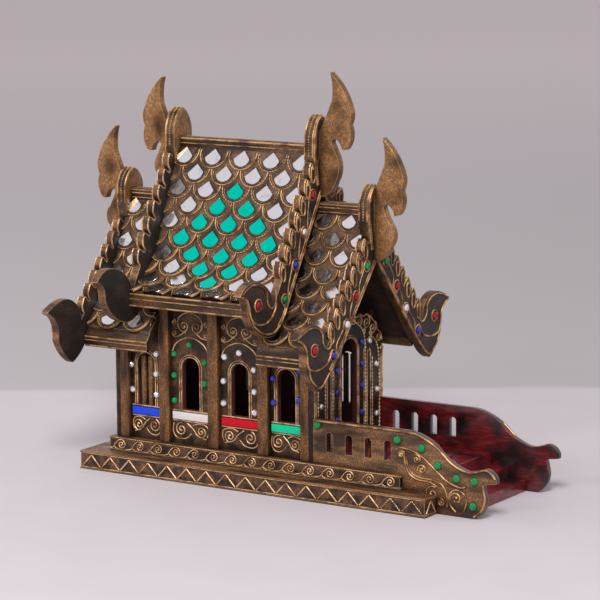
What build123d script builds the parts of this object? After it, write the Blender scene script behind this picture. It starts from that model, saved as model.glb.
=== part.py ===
from build123d import *
import os
from math import acos, atan2, cos, hypot, sin, tan

# Table-top spirit house of carved wood, in millimetres. +X is the stair side, +Z is up,
# and the origin is on the ground under the middle of the hall. The right side is at -Y.

# Hall plan
bay_pitch = 42.5                # middle post to the next post
end_bay_pitch = 35.0            # next post to the corner post
post_width = 8.5
corner_post_width = 7.0
hall_half_width = 47.0          # to the outer face of the posts
panel_inset = 4.0               # wall panels stand back from the posts by this much
panel_thickness = 4.5
end_wall_thickness = 4.2
end_wall_reveal = 0.5           # end walls stop short of the outer post face

# Base
lower_plinth_height = 13.4
upper_plinth_height = 10.1
upper_plinth_side_margin = 3.0
upper_plinth_rear_margin = 4.8
lower_plinth_side_margin = 13.1
lower_plinth_rear_margin = 17.0
lower_plinth_front_margin = 27.0
rim_height = 1.2                # moulded rim along the top and foot of each plinth
rim_depth = 0.6
floor_thickness = 1.0

# Terrace and stair
terrace_length = 71.8
top_step_reach = 19.5           # how far the terrace floor runs out over the first step
tread = 14.0
step_rise = 8.0

# Balustrade, with points of its rail measured from the terrace edge and the rail's top
balustrade_thickness = 4.0
balustrade_height = 31.5        # above the top of the upper plinth
rail_shoulder = (26.5, -8.0)
rail_shoulder_crown = (14.5, -1.9)
rail_hollow = (39.5, -18.6)
rail_dip = (51.0, -22.8)
curl_top = (64.5, -19.5)
curl_brow = (69.8, -21.7)
curl_end = (73.0, -26.0)
curl_lip = (73.0, -29.0)
curl_throat = (63.4, -30.5)
rail_toe_inset = 8.0            # the rail's foot stands back from its throat by this much
slot_width = 5.4
slot_sill = 9.1
slot_height = 13.9
slot_pitch = 15.6
slot_first = 13.2               # first slot's centre in front of the front wall
slot_count = 4

# Windows, doorway and pediment, with heights above the top of the upper plinth
window_width = 14.5
window_sill = 25.0
window_height = 38.0
door_width = 21.0
door_height = 80.5
pediment_eaves = 77.0
pediment_height = 94.0
pediment_peak = 7.0
pediment_half_width = 31.0      # half width of the pediment's raised middle

# Roofs, with wall heights above the top of the upper plinth
main_wall_height = 110.7        # to the edge of the main eaves
main_eave_overhang = 19.0       # past the outer face of the posts
ridge_step = 42.5               # main ridge above the low ridge
main_flare_run = 28.0           # the shallow lower part of the slope
main_flare_rise = 9.2
main_bend_radius = 60.0
main_fascia_depth = 9.7
low_wall_height = 75.3
low_eave_overhang = 14.0
low_roof_rise = 95.2            # ridge above the eaves
low_flare_run = 39.0
low_flare_rise = 46.6
low_bend_radius = 60.0
low_fascia_depth = 7.8
roof_thickness = 4.0
fascia_thickness = 3.5
course_first = 22.8             # lower edge of the top row of scales, down the slope
course_pitch = 12.0
course_lift = 1.3               # each row's lower edge stands up by this much
course_seat = 1.0
gable_wall_thickness = 2.5
gable_wall_height = 94.5        # foot of the upper gable walls above the upper plinth
main_gable_overhang = 10.75     # main roof past the gable wall, up to its bargeboards
low_gable_overhang = 16.8       # low roof past the end wall, up to its bargeboards
ridge_cap_width = 6.0
ridge_cap_height = 4.0
ridge_cap_round = 1.5

# Bargeboards: the lower edge hangs below the ridge, and its bend and end lie off the eaves
board_thickness = 6.0
board_width = 16.0
board_bend_radius = 14.0
main_board_drop = 29.0
main_board_bend = (-15.0, -11.7)
main_board_end = (-5.3, -19.2)
low_board_drop = 32.5
low_board_bend = (-6.0, -2.3)
low_board_end = (6.7, -11.8)

# Tails, from the end of the board: belly up to the beak, then back over the head
main_tail_belly = ((-6.0, 4.5), (3.0, -1.0), (14.0, 0.0), (26.0, 6.5), (34.0, 18.5))
main_tail_beak = ((35.2, 26.0), (43.1, 31.5))
main_tail_head = ((37.0, 37.2), (28.0, 39.6), (17.0, 37.5), (4.0, 27.0))
low_tail_belly = ((-7.5, 6.0), (-1.0, -1.0), (7.5, -6.0), (18.0, 2.5), (24.0, 12.5))
low_tail_beak = ((24.8, 23.5), (36.3, 34.0))
low_tail_head = ((28.0, 38.5), (18.5, 41.2), (8.5, 40.0), (-2.0, 31.0))

# Leaf fins along the top of each board
fin_count = 7
fin_base = 10.5
fin_height = 6.8
fin_lean = 5.0
fin_sink = 0.6
fin_start = 20.0                # first fin's place down the slope from the top of the board
main_fin_end_gap = 22.4         # last fin's place up the slope from the end of the board
low_fin_end_gap = 16.3

# Rounded plates at the gable tops
plate_half_width = 11.0
plate_thickness = 8.0
main_plate_rise = 25.0          # above the ridge
low_plate_rise = 21.0
plate_shoulder = 4.0
plate_waist = 4.0               # below the ridge
plate_foot = 26.0               # below the ridge
plate_foot_half_width = 7.0

# Horns: points of the side view as (out from the plate, above the ridge)
horn_thickness = 6.0
horn_back = ((0.0, 13.5), (5.0, 24.0), (10.2, 36.0), (10.6, 45.5))
horn_tip = (8.6, 55.5)
horn_blade = ((19.3, 43.4), (25.7, 28.5), (25.5, 23.5), (24.0, 19.2))
horn_breast = ((25.2, 10.0), (22.3, 2.9), (20.4, 1.6))
horn_beak = (18.3, 1.4)
horn_notch = ((16.4, 6.2), (13.4, 8.8), (10.5, 8.2), (10.3, 5.0))
horn_neck = ((12.4, 0.5), (14.6, -4.0))
horn_foot = ((15.9, 0.28), (13.0, 0.61), (9.2, 0.85), (3.0, 1.0))   # out, share of the neck
low_neck_foot = 32.5            # foot of a low horn's neck below its ridge
main_neck_gap = 6.0             # foot of a main horn's neck above the low ridge cap
low_horn_set_back = 2.2         # blades of the low horns start inside their plates
low_horn_drop = 1.0             # how much lower than this each other horn's blade sits
main_rear_horn_drop = 9.0
low_rear_horn_drop = 4.0

# Places worked out from the sizes above
plinth_top = lower_plinth_height + upper_plinth_height
floor_top = plinth_top + floor_thickness
corner_post = bay_pitch + end_bay_pitch
hall_half_length = corner_post + corner_post_width / 2
wall_end = hall_half_length + end_wall_thickness
panel_outer = hall_half_width - panel_inset
panel_inner = panel_outer - panel_thickness
upper_half_width = hall_half_width + upper_plinth_side_margin
lower_half_width = upper_half_width + lower_plinth_side_margin
upper_rear = -wall_end - upper_plinth_rear_margin
lower_rear = upper_rear - lower_plinth_rear_margin
terrace_front = wall_end + terrace_length
lower_front = terrace_front + lower_plinth_front_margin
terrace_half_width = hall_half_width - balustrade_thickness
gable_wall_face = bay_pitch + post_width / 2
main_roof_end = gable_wall_face + main_gable_overhang
low_roof_end = wall_end + low_gable_overhang
main_face = main_roof_end + board_thickness
low_face = low_roof_end + board_thickness


# Plain solids

def block(x0, x1, y0, y1, z0, z1):
    """A rectangular solid between two corners."""
    size = Box(x1 - x0, y1 - y0, z1 - z0, align=(Align.MIN, Align.MIN, Align.MIN))
    return Pos(x0, y0, z0) * size


def across(face, x0, x1):
    """A section drawn in (y, z) and run along the building from x0 to x1."""
    return extrude(Plane.YZ.offset(x0) * face, amount=x1 - x0)


def along(face, y0, y1):
    """A side view drawn in (x, z) and given its width from y0 to y1."""
    return extrude(Plane.XZ.offset(-y1) * face, amount=y1 - y0)


def opposite(part):
    """The same piece on the other side of the building."""
    return mirror(part, about=Plane.XZ)


def other_end(part):
    """The same piece at the other end of the building, on the same side."""
    return mirror(part, about=Plane.YZ)


def half_turn(part):
    """The same piece at the other end and on the other side."""
    return Rot(0, 0, 180) * part


# Outlines

def arcs(*points):
    """Arcs end to end: start, a point on the first arc, its end, a point on the next, and so on."""
    chain = ThreePointArc(*points[0:3])
    for first in range(2, len(points) - 2, 2):
        chain += ThreePointArc(*points[first:first + 3])
    return chain


def moved(origin, *offsets):
    """Points given by their offsets from an origin."""
    return [(origin[0] + out, origin[1] + rise) for out, rise in offsets]


def arched_face(centre, width, foot, top):
    """An opening with a straight foot and a round head."""
    half = width / 2
    spring = top - half
    sides = Polyline((centre - half, spring), (centre - half, foot), (centre + half, foot),
                     (centre + half, spring))
    head = ThreePointArc((centre + half, spring), (centre, top), (centre - half, spring))
    return make_face(sides + head)


# Bent slopes, each three points: ridge or top, bend, and eave or end

def shifted_line(start, end, distance):
    """The line through two points, moved square to itself; positive is up and outwards."""
    length = hypot(end[0] - start[0], end[1] - start[1])
    move = ((start[1] - end[1]) / length * distance, (end[0] - start[0]) / length * distance)
    return (start[0] + move[0], start[1] + move[1]), (end[0] + move[0], end[1] + move[1])


def crossing(first, second):
    """Where two lines, each given by two points, cross."""
    (x1, y1), (x2, y2) = first
    (x3, y3), (x4, y4) = second
    ratio = ((x3 - x1) * (y4 - y3) - (y3 - y1) * (x4 - x3)) / (
        (x2 - x1) * (y4 - y3) - (y2 - y1) * (x4 - x3)
    )
    return (x1 + ratio * (x2 - x1), y1 + ratio * (y2 - y1))


def upright(distance):
    """The upright line at a distance from the centre line."""
    return (distance, 0), (distance, 1)


def parallel_slope(slope, distance):
    """A bent slope moved square to itself, still between the same upright lines."""
    steep = shifted_line(slope[0], slope[1], distance)
    shallow = shifted_line(slope[1], slope[2], distance)
    top = crossing(steep, upright(slope[0][0]))
    return top, crossing(steep, shallow), crossing(shallow, upright(slope[2][0]))


def slope_line(slope, radius):
    """The slope with its bend rounded, as far as its shorter leg has room."""
    top, bend, end = slope
    steep = (bend[0] - top[0], bend[1] - top[1])
    shallow = (end[0] - bend[0], end[1] - bend[1])
    legs = hypot(*steep), hypot(*shallow)
    turn = acos((steep[0] * shallow[0] + steep[1] * shallow[1]) / (legs[0] * legs[1]))
    room = 0.97 * min(legs) / tan(turn / 2)
    return FilletPolyline(*slope, radius=min(radius, room))


def roof_slope(ridge, wall_height, overhang, flare_run, flare_rise):
    """A roof's upper surface from the ridge to the eaves."""
    eave = (hall_half_width + overhang, plinth_top + wall_height)
    return (0.0, ridge), (eave[0] - flare_run, eave[1] + flare_rise), eave


def board_edge(slope, drop, bend, end):
    """A bargeboard's lower edge, from its place below the ridge and about the eaves."""
    ridge, _, eave = slope
    return (0.0, ridge[1] - drop), *moved(eave, bend, end)


low_ridge = plinth_top + low_wall_height + low_roof_rise
main_ridge = low_ridge + ridge_step
low_slope = roof_slope(low_ridge, low_wall_height, low_eave_overhang,
                       low_flare_run, low_flare_rise)
main_slope = roof_slope(main_ridge, main_wall_height, main_eave_overhang,
                        main_flare_run, main_flare_rise)


# Base

def plinth(x0, x1, half_width, z0, z1):
    """A plinth whose sides are sunk between a moulded top rim and foot rim."""
    inner_half = half_width - rim_depth
    body = block(x0 + rim_depth, x1 - rim_depth, -inner_half, inner_half, z0, z1)
    foot = block(x0, x1, -half_width, half_width, z0, z0 + rim_height)
    top = block(x0, x1, -half_width, half_width, z1 - rim_height, z1)
    return body + foot + top


def floor_board():
    """The hall floor, its strip through the doorway and the terrace floor, in one level."""
    hall = block(-hall_half_length, hall_half_length, -panel_inner, panel_inner,
                 plinth_top, floor_top)
    sill = block(hall_half_length, wall_end, -door_width / 2, door_width / 2,
                 plinth_top, floor_top)
    terrace = block(wall_end, terrace_front, -terrace_half_width, terrace_half_width,
                    plinth_top, floor_top)
    return hall + sill + terrace


def front_stair():
    """Three steps between the stair rails, the top one level with the terrace."""
    first = terrace_front + top_step_reach
    face = make_face(Polyline(
        (terrace_front, lower_plinth_height), (lower_front, lower_plinth_height),
        (lower_front, 0), (first + 2 * tread, 0), (first + 2 * tread, step_rise),
        (first + tread, step_rise), (first + tread, 2 * step_rise),
        (first, 2 * step_rise), (first, floor_top), (terrace_front, floor_top),
        close=True,
    ))
    return along(face, -terrace_half_width, terrace_half_width)


def balustrade():
    """The left balustrade: a slotted board whose rail swoops down to a curled end."""
    rail_start = (terrace_front, plinth_top + balustrade_height)
    swoop = moved(rail_start, (0, 0), rail_shoulder_crown, rail_shoulder, rail_hollow, rail_dip)
    lip, throat = moved(rail_start, curl_lip, curl_throat)
    curl = moved(rail_start, curl_top, curl_brow, curl_end)
    rise = moved(swoop[-1], ((curl[0][0] - swoop[-1][0]) / 2, (curl[0][1] - swoop[-1][1]) * 0.3))
    toe = (throat[0] - rail_toe_inset, 0)
    chin = (throat[0] + 1.8, throat[1] * 0.62)
    outline = (
        arcs(*swoop, rise[0], *curl)
        + Polyline(curl[-1], lip, throat)
        + arcs(throat, (throat[0] + 0.3, (throat[1] + chin[1]) / 2), chin,
               (throat[0], chin[1] * 0.45), toe)
        + Polyline(toe, (lower_front, 0), (lower_front, lower_plinth_height),
                   (terrace_front, lower_plinth_height), (terrace_front, plinth_top),
                   (wall_end, plinth_top), (wall_end, rail_start[1]), rail_start)
    )
    board = along(make_face(outline), terrace_half_width, hall_half_width)
    foot = plinth_top + slot_sill
    for number in range(slot_count):
        centre = wall_end + slot_first + number * slot_pitch
        slot = arched_face(centre, slot_width, foot, foot + slot_height)
        board -= along(slot, terrace_half_width, hall_half_width)
    return board


# Roofs

def courses(slope, radius):
    """The rows of a roof as thin wedges, each standing up at its lower edge."""
    line = slope_line(slope, radius)

    def at(reach, lift):
        place = line.position_at(reach, position_mode=PositionMode.LENGTH)
        way = line.tangent_at(reach, position_mode=PositionMode.LENGTH)
        return (place.X - way.Y * lift, place.Y + way.X * lift)

    rows = []
    for number in range(int((line.length - course_first) / course_pitch) + 1):
        low = course_first + number * course_pitch
        high = low - course_pitch
        rows.append(make_face(Polyline(at(high, 0), at(low, course_lift), at(low, -course_seat),
                                       at(high, -course_seat), close=True)))
    return rows


def roof_half(slope, radius, fascia_depth, x0, x1):
    """The left half of a roof: a bent board in courses, with an eave board under its edge."""
    under = parallel_slope(slope, -roof_thickness)
    middle = parallel_slope(slope, -roof_thickness / 2)
    eave = slope[2]
    outline = (
        slope_line(slope, radius)
        + Line(eave, under[2])
        + slope_line(under, radius + roof_thickness)
        + Line(under[0], slope[0])
    )
    inner = eave[0] - fascia_thickness
    foot = eave[1] - fascia_depth
    fascia = Polyline((inner, foot), (eave[0], foot), middle[2],
                      crossing(middle[1:], upright(inner)), close=True)
    section = make_face(outline) + make_face(fascia)
    for row in courses(slope, radius):
        section += row
    return across(section, x0, x1)


def under_roof(slope, radius, x0, x1):
    """The space below the roof boards, which walls and gables fill up to."""
    under = parallel_slope(slope, -roof_thickness)
    eave = under[2]
    outline = (
        slope_line(under, radius + roof_thickness)
        + Polyline(eave, (eave[0], 0), (0, 0), under[0])
    )
    half = across(make_face(outline), x0, x1)
    return half + opposite(half)


def ridge_cap(slope, left_half, space, x0, x1):
    """The strip over the joint of the two roof boards."""
    ridge = slope[0][1]
    half = ridge_cap_width / 2
    seat = ridge - 3 * ridge_cap_height
    strip = block(x0, x1, -half, half, seat, ridge + ridge_cap_height)
    top_edges = strip.edges().filter_by(Axis.X).group_by(Axis.Z)[-1]
    return fillet(top_edges, ridge_cap_round) - left_half - opposite(left_half) - space


# Walls

def post(centre, width, space):
    """A square post from the plinth up to the underside of the roof."""
    column = block(centre - width / 2, centre + width / 2, panel_inner, hall_half_width,
                   plinth_top, main_ridge)
    return column & space


def wall_bay(x0, x1, space):
    """A wall panel between two posts, with its arched window cut through."""
    panel = block(x0, x1, panel_inner, panel_outer, plinth_top, main_ridge) & space
    foot = plinth_top + window_sill
    window = arched_face((x0 + x1) / 2, window_width, foot, foot + window_height)
    return panel - along(window, panel_inner, panel_outer)


def end_wall_face():
    """The end wall's outline: square sides and a low scalloped pediment."""
    half = hall_half_width - end_wall_reveal
    eaves = plinth_top + pediment_eaves
    crown = plinth_top + pediment_height
    peak = crown + pediment_peak
    rise = crown - eaves
    scallops = arcs(
        (half, eaves),
        (pediment_half_width + (half - pediment_half_width) * 0.6, eaves + rise * 0.62),
        (pediment_half_width, crown),
        (pediment_half_width / 2, crown + pediment_peak * 0.15),
        (0, peak),
    )
    sides = Polyline((0, peak), (0, plinth_top), (half, plinth_top), (half, eaves))
    left = make_face(scallops + sides)
    return left + mirror(left, about=Plane.YZ)


# Gable pieces

def leaf_fin(foot, down, out):
    """One leaf-shaped fin, bellied below and straight above, with its tip leaning up."""
    def at(along_slope, rise):
        return (foot[0] + down[0] * along_slope + out[0] * rise,
                foot[1] + down[1] * along_slope + out[1] * rise)

    half = fin_base / 2
    tip = at(-fin_lean, fin_height)
    belly = at(half * 0.45, fin_height * 0.75)
    edge = Polyline(tip, at(-half * 0.85, fin_height * 0.3), at(-half, -fin_sink),
                    at(half, -fin_sink))
    return make_face(edge + ThreePointArc(at(half, -fin_sink), belly, tip))


def bargeboard(edge, belly, beak, head, fin_end_gap, x0):
    """The left half of a bargeboard: a bent board, its leaf fins and its tail."""
    steep = shifted_line(edge[0], edge[1], board_width)
    top = crossing(steep, upright(0))
    end = crossing(steep, upright(edge[2][0]))
    board = slope_line(edge, board_bend_radius) + Polyline(edge[2], end, top, edge[0])
    belly_points = moved(edge[2], *belly)
    beak_points = moved(edge[2], *beak)
    head_points = moved(edge[2], *head)
    tail = (
        arcs(*belly_points)
        + arcs(belly_points[-1], *beak_points)
        + arcs(beak_points[-1], *head_points)
        + Line(head_points[-1], belly_points[0])
    )
    face = make_face(board) + make_face(tail)
    slope = atan2(top[1] - end[1], end[0] - top[0])
    down = (cos(slope), -sin(slope))
    out = (sin(slope), cos(slope))
    length = hypot(end[0] - top[0], end[1] - top[1])
    pitch = (length - fin_start - fin_end_gap) / (fin_count - 1)
    for number in range(fin_count):
        reach = fin_start + number * pitch
        face += leaf_fin((top[0] + down[0] * reach, top[1] + down[1] * reach), down, out)
    return across(face, x0, x0 + board_thickness)


def apex_plate(ridge, rise, face_x, around):
    """The pointed plate that covers the meeting of the bargeboards and the ridge."""
    half = plate_half_width
    shoulder = ridge + plate_shoulder
    swell = (half * 0.78, shoulder + (rise - plate_shoulder) * 0.6)
    sides = Polyline((-half, shoulder), (-half, ridge - plate_waist),
                     (-plate_foot_half_width, ridge - plate_foot),
                     (plate_foot_half_width, ridge - plate_foot),
                     (half, ridge - plate_waist), (half, shoulder))
    crown = arcs((half, shoulder), swell, (0, ridge + rise), (-swell[0], swell[1]),
                 (-half, shoulder))
    plate = across(make_face(sides + crown), face_x - plate_thickness, face_x)
    for other in around:
        plate -= other
    return plate


def horn(ridge, face_x, set_back, drop, foot_z):
    """A horn in side view: a tall blade, a breast with a beak, and a swelling neck."""
    blade_origin = (face_x - set_back, ridge - drop)
    back = moved(blade_origin, *horn_back, horn_tip)
    front = moved(blade_origin, horn_tip, *horn_blade, *horn_breast, horn_beak, *horn_notch,
                  *horn_neck)
    neck_z = front[-1][1]
    foot = [(face_x + out, neck_z + (foot_z - neck_z) * share) for out, share in horn_foot]
    neck_end = (face_x, foot_z)
    outline = (
        arcs(*back)
        + arcs(*front)
        + arcs(front[-1], *foot)
        + Polyline(foot[-1], neck_end, (face_x, ridge + plate_shoulder), back[0])
    )
    return along(make_face(outline), -horn_thickness / 2, horn_thickness / 2)


# The pieces, starting with the base
pieces = {
    "lower_plinth": plinth(lower_rear, lower_front, lower_half_width, 0, lower_plinth_height),
    "upper_plinth": plinth(upper_rear, terrace_front, upper_half_width, lower_plinth_height,
                           plinth_top),
    "floor_board": floor_board(),
    "front_stair": front_stair(),
    "left_balustrade": balustrade(),
}
pieces["right_balustrade"] = opposite(pieces["left_balustrade"])

# Posts and wall panels
main_space = under_roof(main_slope, main_bend_radius, -main_roof_end, main_roof_end)
low_space = under_roof(low_slope, low_bend_radius, -low_roof_end, low_roof_end)
left_posts = post(0, post_width, main_space)
for side in (-1, 1):
    left_posts += post(side * bay_pitch, post_width, main_space)
    left_posts += post(side * corner_post, corner_post_width, low_space)
pieces["left_posts"] = left_posts
pieces["right_posts"] = opposite(left_posts)

post_side = post_width / 2
corner_side = corner_post - corner_post_width / 2
bays = {
    "rear": (-corner_side, -bay_pitch - post_side, low_space),
    "mid_rear": (-bay_pitch + post_side, -post_side, main_space),
    "mid_front": (post_side, bay_pitch - post_side, main_space),
    "front": (bay_pitch + post_side, corner_side, low_space),
}
for place, (bay_start, bay_end, space) in bays.items():
    bay = wall_bay(bay_start, bay_end, space)
    pieces["left_wall_" + place] = bay
    pieces["right_wall_" + place] = opposite(bay)

# End walls
doorway = arched_face(0, door_width, plinth_top, plinth_top + door_height)
end_wall = across(end_wall_face(), hall_half_length, wall_end) & low_space
pieces["front_wall"] = end_wall - across(doorway, hall_half_length, wall_end)
pieces["rear_wall"] = half_turn(end_wall)

# Upper gable walls, between the posts and under the main roof
gable_block = block(gable_wall_face - gable_wall_thickness, gable_wall_face,
                    -panel_inner, panel_inner, plinth_top + gable_wall_height, main_ridge)
pieces["front_gable_wall"] = gable_block & main_space
pieces["rear_gable_wall"] = half_turn(pieces["front_gable_wall"])

# Roofs
main_roof = roof_half(main_slope, main_bend_radius, main_fascia_depth,
                      -main_roof_end, main_roof_end)
low_roof = roof_half(low_slope, low_bend_radius, low_fascia_depth,
                     gable_wall_face, low_roof_end)
pieces["main_roof_left"] = main_roof
pieces["main_roof_right"] = opposite(main_roof)
pieces["front_roof_left"] = low_roof
pieces["front_roof_right"] = opposite(low_roof)
pieces["rear_roof_left"] = other_end(low_roof)
pieces["rear_roof_right"] = half_turn(low_roof)

# Bargeboards
main_edge = board_edge(main_slope, main_board_drop, main_board_bend, main_board_end)
low_edge = board_edge(low_slope, low_board_drop, low_board_bend, low_board_end)
main_board = bargeboard(main_edge, main_tail_belly, main_tail_beak, main_tail_head,
                        main_fin_end_gap, main_roof_end)
low_board = bargeboard(low_edge, low_tail_belly, low_tail_beak, low_tail_head,
                       low_fin_end_gap, low_roof_end)
for level, board in (("main", main_board), ("low", low_board)):
    pieces[level + "_front_board_left"] = board
    pieces[level + "_front_board_right"] = opposite(board)
    pieces[level + "_rear_board_left"] = other_end(board)
    pieces[level + "_rear_board_right"] = half_turn(board)

# Ridge caps
main_cap_end = main_face - plate_thickness
low_cap_end = low_face - plate_thickness
pieces["main_ridge_cap"] = ridge_cap(main_slope, main_roof, main_space,
                                     -main_cap_end, main_cap_end)
front_cap = ridge_cap(low_slope, low_roof, low_space, gable_wall_face, low_cap_end)
pieces["front_ridge_cap"] = front_cap
pieces["rear_ridge_cap"] = half_turn(front_cap)

# Horns, each in one piece with the plate behind it
main_around = (main_roof, opposite(main_roof), main_board, opposite(main_board), main_space)
low_around = (low_roof, opposite(low_roof), low_board, opposite(low_board), low_space)
main_plate = apex_plate(main_ridge, main_plate_rise, main_face, main_around)
low_plate = apex_plate(low_ridge, low_plate_rise, low_face, low_around)
main_foot = low_ridge + ridge_cap_height + main_neck_gap
low_foot = low_ridge - low_neck_foot
main_rear = main_plate + horn(main_ridge, main_face, 0, main_rear_horn_drop, main_foot)
low_rear = low_plate + horn(low_ridge, low_face, low_horn_set_back, low_rear_horn_drop, low_foot)
pieces["main_front_horn"] = main_plate + horn(main_ridge, main_face, 0, 0, main_foot)
pieces["low_front_horn"] = low_plate + horn(low_ridge, low_face, low_horn_set_back, low_horn_drop,
                                            low_foot)
pieces["main_rear_horn"] = half_turn(main_rear)
pieces["low_rear_horn"] = half_turn(low_rear)

os.makedirs("parts", exist_ok=True)
for name, piece in pieces.items():
    export_step(piece, "parts/" + name + ".step")
    print(name, len(piece.solids()), round(piece.volume, 1))
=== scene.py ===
"""Looks of a table-top spirit house: gilt carved wood, mirror-glass roof scales, raised bead lines and jewels."""

import logging
import math
import random
from collections.abc import Callable, Iterable, Iterator, Sequence
from contextlib import contextmanager
from dataclasses import dataclass, field
from enum import Enum
from functools import cache

import bmesh
import bpy
from mathutils import Matrix, Vector


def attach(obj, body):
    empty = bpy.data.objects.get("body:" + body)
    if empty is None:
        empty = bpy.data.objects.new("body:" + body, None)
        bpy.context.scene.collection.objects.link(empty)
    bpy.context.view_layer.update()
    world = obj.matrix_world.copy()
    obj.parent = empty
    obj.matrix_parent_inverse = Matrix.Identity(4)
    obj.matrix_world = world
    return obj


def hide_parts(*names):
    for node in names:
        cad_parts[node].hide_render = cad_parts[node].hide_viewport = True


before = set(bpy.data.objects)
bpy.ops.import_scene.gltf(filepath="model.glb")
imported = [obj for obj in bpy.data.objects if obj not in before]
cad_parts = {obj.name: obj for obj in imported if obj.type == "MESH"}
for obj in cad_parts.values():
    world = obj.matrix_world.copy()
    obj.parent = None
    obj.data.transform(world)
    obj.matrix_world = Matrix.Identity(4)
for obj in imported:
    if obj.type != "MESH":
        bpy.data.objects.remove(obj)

log = logging.getLogger("spirit_house")

MM = 0.001
X, Y, Z = Vector((1, 0, 0)), Vector((0, 1, 0)), Vector((0, 0, 1))
HALF_TURN = Matrix.Rotation(math.pi, 4, "Z")
OTHER_SIDE = Matrix.Scale(-1, 4, (0, 1, 0))
Point = tuple[float, float]
Line = Sequence[Point]
Colour = tuple[float, float, float, float]
Inputs = dict[str | int, object]


class Slot(Enum):
    """Finishes of the record, listed beside pieces in the tables; nothing in the script reads them."""

    GILT = "gilt_wood"
    RED = "red_lacquer"
    MIRROR = "mirror_glass"
    GREEN = "green_glass"
    COLOURED = "coloured_glass"


class Texture(Enum):
    """How a squeezed bead line is laid down: every second point's thickness against the line's own."""

    SMOOTH = 1.0
    ROPE = 0.78
    DOTTED = 0.12


SMOOTH, ROPE, DOTTED = Texture


# Material helpers


def linear(code: str) -> Colour:
    """Turns an sRGB hex colour to linear red, green and blue, with an alpha of 1.

    Args:
        code: six hex digits.

    Returns:
        The linear colour.
    """
    channels = [int(code[i:i + 2], 16) / 255 for i in (0, 2, 4)]
    red, green, blue = (c / 12.92 if c <= 0.04045 else ((c + 0.055) / 1.055) ** 2.4 for c in channels)
    return red, green, blue, 1.0


def add_node(tree: bpy.types.NodeTree, kind: str, inputs: Inputs | None = None, output: int | str = 0,
             **settings: object) -> bpy.types.NodeSocket | None:
    """Adds a node with its settings and links.

    Args:
        tree: the node tree.
        kind: the node's type name after ShaderNode.
        inputs: sockets by name or number, each with a value or an output socket to link.
        output: the output to hand back, by name or number.
        **settings: properties of the node.

    Returns:
        The output socket, or None where the node has none.
    """
    node = tree.nodes.new("ShaderNode" + kind)
    for key, value in settings.items():
        setattr(node, key, value)
    for key, value in (inputs or {}).items():
        if isinstance(value, bpy.types.NodeSocket):
            tree.links.new(value, node.inputs[key])
        else:
            node.inputs[key].default_value = value
    return node.outputs[output] if len(node.outputs) else None


class Recipe:
    """A material being made: its nodes and the piece's own coordinates."""

    def __init__(self, name: str) -> None:
        """Starts an empty material."""
        self.material = bpy.data.materials.new(name)
        self.material.use_nodes = True
        self.material.node_tree.nodes.clear()
        self.where = self.add("TexCoord", output="Object")

    def add(self, kind: str, inputs: Inputs | None = None, output: int | str = 0,
            **settings: object) -> bpy.types.NodeSocket | None:
        """Adds a node to this material; see add_node."""
        return add_node(self.material.node_tree, kind, inputs, output, **settings)

    def coat(self, under: object, over: object, grain: Point, levels: Point | None = None, shares: Point = (0.0, 1.0),
             where: bpy.types.NodeSocket | None = None) -> bpy.types.NodeSocket:
        """Lays one colour over another in cloudy patches.

        Args:
            under: the colour or socket below.
            over: the colour or socket that goes over it.
            grain: size of a patch in millimetres, and its octaves of finer detail.
            levels: how dense a cloud is where the coat starts and where it is full; without them it is as it comes.
            shares: how much the coat covers at those two levels.
            where: coordinates other than the piece's own.

        Returns:
            The colour's socket.
        """
        cover = self.add("TexNoise", {"Vector": where or self.where, "Scale": 1 / (grain[0] * MM), "Detail": grain[1]})
        if levels:
            cover = self.add("MapRange", {0: cover, 1: levels[0], 2: levels[1], 3: shares[0], 4: shares[1]},
                             interpolation_type="SMOOTHSTEP")
        return self.add("Mix", {0: cover, 6: under, 7: over}, 2, data_type="RGBA")

    def close(self, inputs: Inputs) -> bpy.types.Material:
        """Gives the shader its inputs, joins it to the output and returns the material."""
        self.add("OutputMaterial", {"Surface": self.add("BsdfPrincipled", inputs)})
        return self.material


# Finishes


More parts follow.
